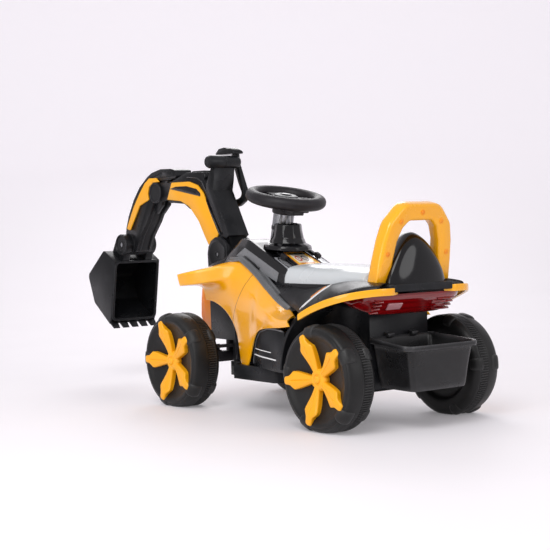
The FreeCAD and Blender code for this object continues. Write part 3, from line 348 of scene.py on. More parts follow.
def gauge_label():
    """Printed dash label: orange border, pale field, round dials and plain bars."""
    material, tree, shader = new_material("gauge_label")
    place = put(tree, "ShaderNodeUVMap").outputs["UV"]
    axes = put(tree, "ShaderNodeSeparateXYZ", Vector=place).outputs

    def within(centre_u, centre_v, half_u, half_v):
        side = sum_of(
            tree, "LESS_THAN", sum_of(tree, "ABSOLUTE", sum_of(tree, "SUBTRACT", axes["X"], centre_u)),
            half_u,
        )
        height = sum_of(
            tree, "LESS_THAN", sum_of(tree, "ABSOLUTE", sum_of(tree, "SUBTRACT", axes["Y"], centre_v)),
            half_v,
        )
        return sum_of(tree, "MULTIPLY", side, height)

    def dial(centre_u, centre_v, radius):
        off = put(
            tree, "ShaderNodeVectorMath", {"operation": "SUBTRACT"}, _0=place,
            _1=(centre_u, centre_v, 0.0),
        )
        flat = put(
            tree, "ShaderNodeVectorMath", {"operation": "MULTIPLY"}, _0=off.outputs[0],
            _1=(1.35, 1.0, 0.0),
        )
        away = put(
            tree, "ShaderNodeVectorMath", {"operation": "LENGTH"}, _0=flat.outputs[0],
        ).outputs["Value"]
        return sum_of(tree, "LESS_THAN", away, radius)

    layers = (
        (within(0.5, 0.5, 0.44, 0.42), linear(246, 196, 70)),
        (within(0.5, 0.52, 0.34, 0.32), linear(244, 232, 214)),
        (within(0.5, 0.84, 0.42, 0.05), linear(60, 52, 44)),
        (dial(0.36, 0.5, 0.18), linear(206, 74, 60)),
        (dial(0.36, 0.5, 0.12), linear(246, 236, 226)),
        (dial(0.66, 0.5, 0.18), linear(96, 94, 108)),
        (dial(0.66, 0.5, 0.12), linear(238, 226, 214)),
        (within(0.36, 0.53, 0.012, 0.08), linear(60, 40, 40)),
        (within(0.68, 0.52, 0.012, 0.08), linear(60, 40, 40)),
        (within(0.5, 0.16, 0.3, 0.03), linear(214, 96, 40)),
    )
    colour = linear(236, 142, 34)
    for mask, ink in layers:
        colour = mix_colour(tree, mask, colour, ink)
    grain_out = group_node(tree, MOULD_GRAIN, Grain_Size=600.0, Gloss_Low=0.2, Gloss_High=0.28)
    surface(tree, shader, colour, grain_out["Roughness"])
    return material


def key_label():
    """Small silver label behind a rocker key, with a dark ring and two bars."""
    material, tree, shader = new_material("key_label")
    place = put(tree, "ShaderNodeUVMap").outputs["UV"]
    off = put(tree, "ShaderNodeVectorMath", {"operation": "SUBTRACT"}, _0=place, _1=(0.5, 0.5, 0.0))
    away = put(tree, "ShaderNodeVectorMath", {"operation": "LENGTH"}, _0=off.outputs[0]).outputs["Value"]
    ring = sum_of(tree, "LESS_THAN", sum_of(tree, "ABSOLUTE", sum_of(tree, "SUBTRACT", away, 0.42)), 0.05)
    colour = mix_colour(tree, ring, linear(190, 192, 196), linear(34, 34, 38))
    grain_out = group_node(tree, MOULD_GRAIN, Grain_Size=600.0, Gloss_Low=0.2, Gloss_High=0.28)
    surface(tree, shader, colour, grain_out["Roughness"])
    shader.inputs["Metallic"].default_value = 0.6
    return material


dash_label = gauge_label()
silver_label = key_label()


# ------------------------------------------------------------------ shaping


def mesh_object(name, points, faces):
    mesh = bpy.data.meshes.new(name)
    mesh.from_pydata(points, [], faces)
    mesh.update()
    obj = bpy.data.objects.new(name, mesh)
    SCENE.collection.objects.link(obj)
    return obj


def between(rows, count, closed=True):
    """Faces that join each row of points to the next."""
    faces = []
    for i in range(rows - 1):
        for j in range(count if closed else count - 1):
            k = (j + 1) % count
            faces.append((i * count + j, i * count + k, (i + 1) * count + k, (i + 1) * count + j))
    return faces


def tube(name, rows):
    """Closed mesh through equal rings of points, used as they are given."""
    count, last = len(rows[0]), (len(rows) - 1) * len(rows[0])
    ends = [tuple(range(count)), tuple(last + j for j in range(count - 1, -1, -1))]
    return outward(mesh_object(name, [p for row in rows for p in row], between(len(rows), count) + ends))


def prism(name, points):
    """Closed mesh from a lower ring of points followed by the same ring higher up."""
    count = len(points) // 2
    faces = [tuple(range(count)), tuple(range(2 * count - 1, count - 1, -1))]
    faces += [(i, (i + 1) % count, count + (i + 1) % count, count + i) for i in range(count)]
    return outward(mesh_object(name, points, faces))


def modifier(obj, kind, **values):
    added = obj.modifiers.new(kind.lower(), kind)
    for key, value in values.items():
        setattr(added, key, value)
    return added


def smooth(obj, levels):
    modifier(obj, "SUBSURF", levels=levels, render_levels=levels, boundary_smooth="PRESERVE_CORNERS")


def soften(obj, width, segments=3, angle=30):
    modifier(
        obj, "BEVEL", width=width / 1000, segments=segments, limit_method="ANGLE",
        angle_limit=math.radians(angle), harden_normals=True,
    )


def thicken(obj, wall):
    modifier(obj, "SOLIDIFY", thickness=wall / 1000, offset=-1, use_even_offset=True)


def plain(obj):
    """Turns an object's modifiers into its own mesh."""
    bpy.context.view_layer.update()
    graph = bpy.context.evaluated_depsgraph_get()
    mesh = bpy.data.meshes.new_from_object(obj.evaluated_get(graph))
    obj.modifiers.clear()
    obj.data = mesh
    return obj


def outward(obj):
    """Points the faces of each closed shell outwards."""
    build = bmesh.new()
    build.from_mesh(obj.data)
    bmesh.ops.remove_doubles(build, verts=build.verts, dist=1e-6)
    bmesh.ops.recalc_face_normals(build, faces=build.faces)
    build.to_mesh(obj.data)
    build.free()
    return obj


def placed(obj, matrix):
    obj.data.transform(matrix)
    obj.data.update()
    return obj


def millimetres(matrix):
    """Placement in rear-axle millimetres as a transform of a mesh drawn in millimetres."""
    return Matrix.Translation((AXLE_X, 0, 0)) @ Matrix.Scale(0.001, 4) @ matrix


def finished(obj, body, material, replaces=(), angle=38):
    """Settles a piece: plain mesh, one material, smooth shading, and the body it rides on."""
    plain(obj)
    obj.data.materials.clear()
    obj.data.materials.append(material)
    obj.data.polygons.foreach_set("use_smooth", [True] * len(obj.data.polygons))
    obj.data.set_sharp_from_angle(angle=math.radians(angle))
    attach(obj, body)
    if replaces:
        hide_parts(*replaces)
    return obj


def rounded(outline, steps=4):
    """Outline of (u, v) points; a third number rounds that corner with a short run of points."""
    flat = [Vector(p[:2]) for p in outline]
    points = []
    for i, corner in enumerate(flat):
        radius = outline[i][2] if len(outline[i]) > 2 else 0
        if not radius:
            points.append(corner)
            continue
        back = (flat[i - 1] - corner).normalized()
        ahead = (flat[(i + 1) % len(flat)] - corner).normalized()
        half = back.angle(ahead) / 2
        reach = radius / math.tan(half)
        centre = corner + (back + ahead).normalized() * (radius / math.sin(half))
        first = corner + back * reach - centre
        turn = first.angle_signed(corner + ahead * reach - centre)
        for step in range(steps + 1):
            spoke = first.copy()
            spoke.rotate(Matrix.Rotation(-turn * step / steps, 2))
            points.append(centre + spoke)
    return points


def slab(name, outline, low, high, view="side", bevel=1.5, segments=3, steps=4):
    """Flat piece cut to an outline, between two levels, with softened edges."""
    ring = rounded(outline, steps)
    order = {
        "side": lambda u, v, w: at(u, w, v),
        "plan": lambda u, v, w: at(u, v, w),
        "front": lambda u, v, w: at(w, u, v),
        "own": lambda u, v, w: Vector((u, v, w)),
    }[view]
    points = [order(p.x, p.y, low) for p in ring] + [order(p.x, p.y, high) for p in ring]
    obj = prism(name, points)
    if bevel:
        soften(obj, bevel, segments)
    return obj


def sheet(name, rows, wall, creases=None, row_creases=None, levels=2, rim=1.0, away=None):
    """Moulded sheet through a grid of control points, smoothed, then given its wall inwards."""
    columns = len(rows[0])
    points = [at(*p) for row in rows for p in row]
    obj = mesh_object(name, points, between(len(rows), columns, closed=False))
    if away is not None:
        centre = at(*away)
        facing = sum(p.normal.dot(p.center - centre) * p.area for p in obj.data.polygons)
        if facing < 0:
            obj.data.flip_normals()
    crease_edges(obj, columns, creases or {}, row_creases or {})
    smooth(obj, levels)
    if wall:
        thicken(obj, wall)
        if rim:
            soften(obj, rim, 2, 50)
    return obj


def crease_edges(obj, columns, creases, row_creases):
    layer = obj.data.attributes.new("crease_edge", "FLOAT", "EDGE")
    for edge in obj.data.edges:
        a, b = edge.vertices
        if a % columns == b % columns and a % columns in creases:
            layer.data[edge.index].value = creases[a % columns]
        elif a // columns == b // columns and a // columns in row_creases:
            layer.data[edge.index].value = row_creases[a // columns]


def shell(name, rows, creases=None, row_creases=None, levels=2):
    """Closed skin through rings of control points, with its two ends filled."""
    count = len(rows[0])
    points = [at(*p) for row in rows for p in row]
    faces = between(len(rows), count)
    faces.append(tuple(range(count - 1, -1, -1)))
    last = (len(rows) - 1) * count
    faces.append(tuple(last + j for j in range(count)))
    obj = outward(mesh_object(name, points, faces))
    crease_edges(obj, count, creases or {}, row_creases or {})
    smooth(obj, levels)
    return obj


def turned(name, profile, placement, segments=64, first=0.0):
    """Closed (radius, height) profile turned about Z, in millimetres, then placed."""
    count = len(profile)
    points, faces = [], []
    for s in range(segments):
        angle = first + 2 * math.pi * s / segments
        points += [(r * math.cos(angle), r * math.sin(angle), h) for r, h in profile]
    for s in range(segments):
        here, following = s * count, ((s + 1) % segments) * count
        for j in range(count):
            k = (j + 1) % count
            if profile[j][0] > 0 or profile[k][0] > 0:
                faces.append((here + j, here + k, following + k, following + j))
    obj = mesh_object(name, points, faces)
    build = bmesh.new()
    build.from_mesh(obj.data)
    bmesh.ops.remove_doubles(build, verts=build.verts, dist=1e-4)
    bmesh.ops.dissolve_degenerate(build, edges=build.edges, dist=1e-5)
    bmesh.ops.recalc_face_normals(build, faces=build.faces)
    build.to_mesh(obj.data)
    build.free()
    return placed(obj, millimetres(placement))


def swept(name, path, section, up=(0, 0, 1), closed=False):
    """Bar that follows a path of points; section is (side, up) offsets in millimetres."""
    path = [Vector(p) for p in path]
    up = Vector(up)
    count = len(section)
    points, faces = [], []
    for i, spot in enumerate(path):
        before = path[i - 1] if i or closed else spot
        after = path[(i + 1) % len(path)] if i < len(path) - 1 or closed else spot
        forward = (after - before).normalized()
        side = forward.cross(up).normalized()
        rise = side.cross(forward)
        points += [at(*(spot + side * u + rise * v)) for u, v in section]
    for i in range(len(path) - (0 if closed else 1)):
        here, following = i * count, ((i + 1) % len(path)) * count
        for j in range(count):
            k = (j + 1) % count
            faces.append((here + j, here + k, following + k, following + j))
    if not closed:
        last = (len(path) - 1) * count
        faces += [tuple(range(count)), tuple(last + j for j in range(count - 1, -1, -1))]
    return outward(mesh_object(name, points, faces))


def joined(name, objects):
    """One piece from several meshes."""
    build = bmesh.new()
    for obj in objects:
        plain(obj)
        build.from_mesh(obj.data)
        bpy.data.objects.remove(obj)
    mesh = bpy.data.meshes.new(name)
    build.to_mesh(mesh)
    build.free()
    whole = bpy.data.objects.new(name, mesh)
    SCENE.collection.objects.link(whole)
    return whole


def moulded(node, width=1.0, segments=2, angle=30):
    """Copy of a CAD piece with its flats made whole and its edges rounded."""
    copy = bpy.data.objects.new(node + "_moulding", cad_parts[node].data.copy())
    SCENE.collection.objects.link(copy)
    copy.data.materials.clear()
    build = bmesh.new()
    build.from_mesh(copy.data)
    bmesh.ops.remove_doubles(build, verts=build.verts, dist=2e-6)
    bmesh.ops.dissolve_limit(build, angle_limit=math.radians(0.6), verts=build.verts, edges=build.edges)
    build.to_mesh(copy.data)
    build.free()
    for attribute in ("custom_normal", "sharp_edge", "sharp_face"):
        found = copy.data.attributes.get(attribute)
        if found:
            copy.data.attributes.remove(found)
    soften(copy, width, segments, angle)
    return copy


def mirrored(obj, name):
    """The right-hand twin of a left-hand piece."""
    twin = bpy.data.objects.new(name, obj.data.copy())
    SCENE.collection.objects.link(twin)
    twin.data.transform(Matrix.Scale(-1, 4, (0, 1, 0)))
    twin.data.flip_normals()
    return twin


def both_sides(left, name, material, replaces="", angle=38):
    """Finishes a left-hand piece and its right-hand twin."""
    plain(left)
    right = mirrored(left, name + "_right")
    for obj, side in ((left, "left"), (right, "right")):
        gone = [replaces + side] if replaces else ()
        finished(obj, "chassis", material, replaces=gone, angle=angle)


def across(centre, side=1):
    """Placement that lays a turned piece's axis across the car through a pivot."""
    return Matrix.Translation((centre[0], 0, centre[1])) @ Matrix.Rotation(math.radians(-90 * side), 4, "X")


def arc(centre, radius, first, last, count):
    """Points of a round stretch, both ends included."""
    points = []
    for i in range(count):
        angle = math.radians(first + (last - first) * i / (count - 1))
        points.append((centre[0] + radius * math.cos(angle), centre[1] + radius * math.sin(angle)))
    return points


# ------------------------------------------------------------------ what repeats


def set_input(change, label, value):
    """Sets a Geometry Nodes input by its socket's identifier."""
    for item in change.node_group.interface.items_tree:
        if item.item_type == "SOCKET" and item.in_out == "INPUT" and item.name == label:
            change[item.identifier] = value
            return
    raise KeyError(label)


def copies_tree(name, *numbers):
    """Tree that puts a shape on points, and its inputs and its placing node."""
    tree = bpy.data.node_groups.new(name, "GeometryNodeTree")
    for label, kind in (("Geometry", "Geometry"), ("Shape", "Object"), *numbers, ("Finish", "Material")):
        tree.interface.new_socket(label, in_out="INPUT", socket_type="NodeSocket" + kind)
    tree.interface.new_socket("Geometry", in_out="OUTPUT", socket_type="NodeSocketGeometry")
    given = tree.nodes.new("NodeGroupInput").outputs
    shape = tree.nodes.new("GeometryNodeObjectInfo")
    tree.links.new(given["Shape"], shape.inputs["Object"])
    place = tree.nodes.new("GeometryNodeInstanceOnPoints")
    tree.links.new(shape.outputs["Geometry"], place.inputs["Instance"])
    real = tree.nodes.new("GeometryNodeRealizeInstances")
    tree.links.new(place.outputs[0], real.inputs[0])
    paint = tree.nodes.new("GeometryNodeSetMaterial")
    tree.links.new(real.outputs[0], paint.inputs["Geometry"])
    tree.links.new(given["Finish"], paint.inputs["Material"])
    out = tree.nodes.new("NodeGroupOutput")
    tree.links.new(paint.outputs[0], out.inputs[0])
    return tree, given, place


def ring_tree():
    """Even turns of one shape about the Y axis."""
    tree, given, place = copies_tree("ring of copies", ("Count", "Int"), ("First Turn", "Float"))
    line = tree.nodes.new("GeometryNodeMeshLine")
    line.inputs["Offset"].default_value = (0, 0, 0)
    tree.links.new(given["Count"], line.inputs["Count"])
    index = tree.nodes.new("GeometryNodeInputIndex").outputs[0]
    step = sum_of(tree, "DIVIDE", 2 * math.pi, given["Count"])
    turn = sum_of(tree, "MULTIPLY_ADD", index, step, given["First Turn"])
    angles = put(tree, "ShaderNodeCombineXYZ", Y=turn)
    tree.links.new(line.outputs[0], place.inputs["Points"])
    tree.links.new(angles.outputs[0], place.inputs["Rotation"])
    return tree


def spots_tree():
    """One shape on every point of the mesh it is given."""
    tree, given, place = copies_tree("copies on points")
    tree.links.new(given["Geometry"], place.inputs["Points"])
    return tree


RING = ring_tree()
SPOTS = spots_tree()


def repeated(name, tree, shape, material, points=((0, 0, 0),), **inputs):
    """Runs one of the trees on a few points and keeps the result as a plain mesh."""
    plain(shape)
    obj = mesh_object(name, points, [])
    change = obj.modifiers.new("copies", "NODES")
    change.node_group = tree
    set_input(change, "Shape", shape)
    set_input(change, "Finish", material)
    for label, value in inputs.items():
        set_input(change, label.replace("_", " "), value)
    plain(obj)
    bpy.data.objects.remove(shape)
    return obj


# ------------------------------------------------------------------ wheels


TYRE = [
    (5.4, 13), (24, 13), (34, 14), (48, 17), (62, 21.5), (74, 25), (81, 27.5), (86, 30.6), (90, 32.6),
    (93.6, 33.4),
    (96.6, 32.8), (98.2, 31), (99.8, 30.6), (101.6, 30.8), (104.4, 28.6), (107, 23), (108.8, 15),
    (109.8, 6), (110, -1),
    (109.6, -4), (107, -5), (106.8, -24), (109.2, -25.2), (108.8, -28), (106, -33), (101.6, -37.4),
    (96, -39.4),
    (90, -40), (80, -39.6), (74, -37.6), (70, -33), (66, -31.4), (40, -31), (26, -31.6), (20, -33.6),
    (5.4, -33.6),
]
OUTER_LUG = [
    (80, 24), (85, 31.6), (91, 35.2), (98, 35.2), (105, 32), (110.6, 25.6), (112.6, 17), (112.2, 8),
    (107, 4),
    (101, 14), (90, 24),
]
INNER_LUG = [
    (106, -14), (111.4, -20), (112, -26), (110.2, -32.6), (105, -38.4), (98, -41), (90, -41.4),
    (86, -38), (96, -32), (103, -24),
]
ARM_STATIONS = (
    # radius, half width, crest height over the wheel's middle plane
    (10, 6.8, 26), (24, 8.6, 27), (36, 11.6, 28.6), (48, 14.8, 31), (58, 17.6, 33.4), (64, 19, 35),
    (68, 18.6, 36),
    (72, 15.2, 37), (77, 10.4, 38), (82, 9, 38.4), (90, 8.6, 38.2), (93.6, 7.8, 37.2), (95.6, 5.4, 35.6),
)
ARM_DEPTH = 13.0


def wheel_placement(x, side):
    """Turns a wheel drawn about +Z so that its outer face looks to its own side."""
    swing = Matrix.Rotation(math.radians(-90 * side), 4, "X")
    return Matrix.Translation((x, side * WHEEL_MIDDLE, WHEEL_RADIUS)) @ swing


def lug_mesh(name, section, half_angle):
    """Raised pad over the tyre's shoulder, drawn about +Y at the side of a wheel."""
    spread = (-1.0, -0.86, -0.45, 0.45, 0.86, 1.0)
    sink = (5.0, 0.6, 0.0, 0.0, 0.6, 5.0)
    rows = []
    middle_r = sum(r for r, h in section) / len(section)
    middle_h = sum(h for r, h in section) / len(section)
    for share, down in zip(spread, sink):
        angle = math.radians(half_angle * share)
        row = []
        for r, h in section:
            away = Vector((r - middle_r, h - middle_h))
            away = away * max(0.0, 1 - down / max(away.length, 1e-6))
            reach = middle_r + away.x
            row.append((reach * math.cos(angle), middle_h + away.y, reach * math.sin(angle)))
        rows.append(row)
    obj = tube(name, [[Vector(p) / 1000 for p in row] for row in rows])
    smooth(obj, 1)
    return obj


def ridge_mesh(name):
    """One tooth of the fine ribbed band round the tread."""
    half, top = 1.5, 0.8
    section = [(106, -half), (106, half), (109.4, top), (109.4, -top)]
    points = [Vector((r, h, t)) / 1000 for h in (-4.4, -24.8) for r, t in section]
    faces = [(0, 1, 2, 3), (7, 6, 5, 4), (0, 4, 5, 1), (1, 5, 6, 2), (2, 6, 7, 3), (3, 7, 4, 0)]
    return outward(mesh_object(name, points, faces))


def star_arm(name):
    """Leaf-shaped arm with a raised centre, an engraved line and a stub tip, along +X."""
    rows = []
    for r, half, top in ARM_STATIONS:
        line = 1.5 if 14 < r < 76 else 0.0
        rise = 1.2 if 20 < r < 78 else 0.3
        base = top - ARM_DEPTH
        rows.append([
            (r, -half, base), (r, -half, top - 2.6), (r, -0.84 * half, top - 0.4), (
                r, -0.45 * half, top + rise * 0.55,
            ),
            (r, -1.3, top + rise), (r, 0.0, top + rise - line), (r, 1.3, top + rise),
            (r, 0.45 * half, top + rise * 0.55), (r, 0.84 * half, top - 0.4), (r, half, top - 2.6),
            (r, half, base),
        ])
    obj = tube(name, rows)
    crease_edges(
        obj, len(rows[0]), {0: 1.0, 10: 1.0, 1: 0.6, 9: 0.6, 5: 0.7, 4: 0.5, 6: 0.5},
        {0: 0.9, len(rows) - 1: 0.6},
    )
    smooth(obj, 2)
    return obj


HUB = [
    (0, 13), (24, 13), (23.4, 22), (20, 26), (14, 27.4), (11.4, 27.2), (9.8, 25.6), (8.6, 25.8),
    (7.6, 28.8), (4, 29.8), (0, 30),
]


def make_wheel(name, x, side, phase):
    """Tyre with its ribbed band and pads, and a five-armed star."""
    body = name + "_wheel"
    place = wheel_placement(x, side)
    tyre = turned(name + "_tyre_skin", TYRE, place, segments=96)
    smooth(tyre, 1)
    finished(tyre, body, tyre_black, replaces=[name + "_tyre"])
    centre = Matrix.Translation(at(x, side * WHEEL_MIDDLE, WHEEL_RADIUS))
    flip = Matrix.Identity(4) if side > 0 else Matrix.Rotation(math.pi, 4, "Z")
    for part, shape, count, turn in (
        ("tread_band", ridge_mesh(name + "_ridge"), 126, 0.0),
        ("outer_lugs", lug_mesh(name + "_pad", OUTER_LUG, 9.5), 5, phase),
        ("inner_lugs", lug_mesh(name + "_inner_pad", INNER_LUG, 8.0), 5, phase),
    ):
        copies = repeated(
            f"{name}_{part}", RING, shape, tyre_black, Count=count, First_Turn=math.radians(turn)
        )
        placed(copies, centre @ flip)
        finished(copies, body, tyre_black)
    arms = []
    for i in range(5):
        arm = star_arm(f"{name}_arm_{i}")
        plain(arm)
        turn = Matrix.Rotation(math.radians(-(phase * side) + 72 * i), 4, "Z")
        if side < 0:
            turn = Matrix.Rotation(math.pi, 4, "Z") @ turn
        arms.append(placed(arm, millimetres(place @ turn)))
    hub = turned(name + "_hub_cap", HUB, place, segments=10)
    soften(hub, 0.8, 2, 20)
    star = joined(name + "_star", arms + [hub])
    finished(star, body, yellow_satin, replaces=[name + "_hub_star"])


# ------------------------------------------------------------------ side panels


PANEL_ROWS = [
    [
        (550, 80, 308), (551, 112, 312), (550, 171, 309), (543, 168, 281), (540, 118, 281),
        (539, 104, 274), (537, 101, 262), (535, 100, 246),
    ],
    [
        (506, 80, 320), (506, 112, 323), (506, 171, 316), (506, 169, 285), (504, 118, 281),
        (504, 106, 271), (504, 102, 259), (504, 100, 245),
    ],
    [
        (470, 80, 331), (470, 100, 334), (468, 146, 323), (466, 143, 290), (464, 114, 284),
        (464, 105, 268), (462, 102, 250), (460, 100, 228),
    ],
    [
        (432, 80, 336), (432, 91, 340), (432, 112, 330), (434, 114, 300), (434, 108, 280), (432, 106, 260),
        (430, 104, 238), (427, 101, 200),
    ],
    [
        (404, 80, 336), (404, 86, 342), (405, 96, 328), (406, 104, 302), (408, 108, 274), (410, 109, 245),
        (409, 107, 210), (404, 103, 163),
    ],
    [
        (374, 82, 324), (372, 88, 329), (373, 97, 312), (375, 107, 284), (378, 113, 252), (382, 114, 215),
        (388, 111, 165), (394, 106, 92),
    ],
    [
        (346, 84, 309), (344, 90, 314), (342, 101, 296), (341, 114, 268), (342, 122, 240), (344, 122, 206),
        (349, 121, 160), (355, 119, 92),
    ],
    [
        (324, 88, 297), (322, 93, 302), (320, 106, 286), (318, 122, 262), (319, 128, 237), (323, 128, 208),
        (330, 126, 170), (340, 121, 116),
    ],
    [
        (300, 94, 285), (300, 99, 290), (298, 114, 275), (297, 131, 255), (297, 137, 235), (300, 138, 213),
        (308, 134, 188), (314, 129, 166),
    ],
    [
        (270, 101, 270), (270, 106, 276), (268, 124, 262), (267, 141, 243), (267, 148, 224),
        (270, 149, 208), (276, 147, 197), (282, 143, 188),
    ],
    [
        (238, 108, 254), (238, 113, 260), (236, 132, 248), (235, 151, 232), (235, 157, 218),
        (238, 158, 208), (242, 157, 201), (246, 156, 196),
    ],
    [
        (204, 117, 241), (204, 122, 247), (200, 146, 238), (197, 168, 226), (195, 175, 217),
        (194, 177, 211), (194, 178, 206), (196, 178, 202),
    ],
    [
        (172, 125, 231), (172, 130, 237), (162, 156, 230), (152, 182, 222), (147, 190, 216),
        (143, 192, 212), (141, 193, 209), (138, 194, 206),
    ],
    [
        (130, 154, 226), (130, 159, 231), (118, 178, 228), (106, 196, 224), (100, 201, 221),
        (97, 203, 218), (95, 203, 215), (92, 204, 212),
    ],
]


def side_panels():
    left = sheet(
        "side_panel_left", PANEL_ROWS, 3.2, creases={1: 0.35, 2: 0.55, 3: 0.6, 5: 0.2},
        levels=3, rim=0.9, away=(340, 0, 200),
    )
    both_sides(left, "side_panel", yellow_side, "side_fairing_")


RIDGE_BAND = [
    (452, 80, 345), (430, 83, 345), (404, 82, 347), (372, 85, 333), (344, 87, 318), (322, 90, 306),
    (300, 95, 294), (270, 102, 280),
    (238, 109, 264), (204, 118, 251), (178, 125, 242),
]


def ridge_bands():
    """Grey moulding with two ridges along the top of each side panel."""
    section = [
        (-10, -6), (-10, 0.6), (-8, 2.6), (-4, 2.6), (-2.6, -0.6), (0.6, -0.8), (2, 2.6), (7, 2.2),
        (8.6, 0), (9.4, -2),
        (13, -4.4), (14, -8), (6, -10),
    ]
    left = swept("ridge_band_left", RIDGE_BAND, section)
    soften(left, 0.5, 2, 25)
    both_sides(left, "ridge_band", grey_satin, angle=50)


TRIM_PATH = [
    (66, 200, 232), (52, 199.4, 239), (28, 196, 250), (-2, 191, 261), (-28, 183, 269), (-50, 173, 275),
    (-68, 160, 279), (-84, 144, 282), (-97, 124, 284), (-102, 106, 284), (-102, 86, 284),
]


def trims():
    """Yellow strips that run round the tail, ending in a squared block."""
    half = [6.4, 7, 7.2, 7.4, 7.4, 7.4, 7.4, 7.4, 7.4, 7.4, 7.4]
    rows = []
    for (x, y, z), h in zip(TRIM_PATH, half):
        inward = 9 if y > 150 else 9 + (150 - y) * 0.3
        lean = (150 - y) / 42 if y < 150 else 0
        back = Vector((x + 0.5, y, z))
        inner = Vector((x + lean * 8, y - inward + lean * 4, z))
        rows.append([
            (back.x, back.y, back.z + h), (back.x - 0.6, back.y + 0.8, back.z),
            (back.x, back.y, back.z - h),
            (inner.x, inner.y, inner.z - h + 1), (inner.x, inner.y, inner.z + h - 1),
        ])
    left = shell(
        "tail_trim_left", rows, creases={0: 0.7, 2: 0.7, 3: 0.5, 4: 0.5},
        row_creases={0: 0.6, len(rows) - 1: 0.8},
    )
    both_sides(left, "tail_trim", yellow, "fender_trim_")


HAUNCH = [
    [(292, 76, 283), (290, 84, 284), (284, 92, 280), (276, 100, 274), (268, 104, 266)],
    [(262, 76, 284), (260, 84, 285), (250, 95, 279), (240, 107, 267), (234, 112, 256)],
    [(222, 76, 284), (220, 84, 285), (210, 100, 274), (198, 118, 258), (190, 124, 246)],
    [(182, 76, 284), (180, 84, 285), (166, 106, 270), (150, 132, 252), (142, 140, 240)],
    [(142, 76, 285), (140, 85, 287), (124, 116, 272), (106, 160, 247), (98, 172, 236)],
    [(104, 78, 290), (102, 87, 293), (88, 124, 279), (72, 178, 246), (64, 186, 238)],
    [(70, 80, 296), (66, 90, 299), (54, 126, 288), (38, 174, 262), (30, 184, 250)],
    [(30, 84, 301), (28, 94, 304), (14, 130, 296), (-2, 168, 276), (-8, 178, 264)],
    [(-14, 86, 303), (-18, 96, 305), (-28, 126, 300), (-42, 156, 288), (-46, 164, 276)],
    [(-54, 86, 302), (-56, 96, 304), (-62, 112, 302), (-70, 138, 295), (-74, 142, 284)],
    [(-82, 84, 300), (-84, 92, 301), (-88, 104, 300), (-94, 118, 296), (-96, 120, 286)],
]


def haunches():
    """Black shoulders beside the seat, with the lip that follows each rear wheel arch."""
    top = sheet("haunch_top", HAUNCH, 3.0, creases={1: 0.3, 3: 0.3}, levels=2, rim=0.8, away=(100, 60, 150))
    centre = (0.0, WHEEL_RADIUS)
    ring = arc(centre, 153, 2, 66, 17)
    inner = arc(centre, 145, 66, 2, 17)
    band = slab("arch_lip", ring + inner, 108, 184, bevel=2.0)
    left = joined("haunch_left", [top, band])
    both_sides(left, "haunch", black_satin, "rear_fender_")


def stripes():
    """Two pale lines and a short orange one laid over each haunch."""
    plain_haunch = bpy.data.objects["haunch_left"]
    ground = BVHTree.FromPolygons(
        [v.co for v in plain_haunch.data.vertices], [p.vertices for p in plain_haunch.data.polygons]
    )
    runs = (
        # shift along the haunch, half width, start and end share, ink
        (0, 2.0, 0.0, 1.0, stripe_white), (-9, 1.4, 0.0, 0.86, stripe_white), (
            12, 2.4, 0.46, 0.94, stripe_orange,
        ),
    )
    for i, (shift, width, low, high, ink) in enumerate(runs):
        path = []
        for step in range(13):
            t = low + (high - low) * step / 12
            x, y = 108 + shift - 26 * t, 160 - 66 * t
            hit = ground.ray_cast(at(x, y, 340), Vector((0, 0, -1)))[0]
            path.append((x, y, (hit.z * 1000 if hit else 270) + 0.2))
        left = swept(
            f"haunch_stripe_left_{i}", path, [(-width, -1.4), (width, -1.4), (width, 0.8), (-width, 0.8)],
        )
        soften(left, 0.3, 2)
        plain(left)
        right = mirrored(left, f"haunch_stripe_right_{i}")
        for strip in (left, right):
            finished(strip, "chassis", ink)


# ------------------------------------------------------------------ bonnet, dash and seat


BONNET = [
    # x, side y, side z, facet y, facet z, rail y, rail z, plate z
    (258, 83, 284, 81, 308, 71, 320, 315),
    (300, 83, 290, 81, 327, 70, 340, 334),
    (350, 83, 298, 80, 349, 69, 363, 357),
    (404, 83, 302, 78, 370, 66, 387, 381),
    (440, 83, 302, 74, 372, 60, 390, 387),
    (490, 79, 300, 66, 352, 50, 370, 368),
    (527, 72, 290, 60, 322, 42, 343, 342),
]


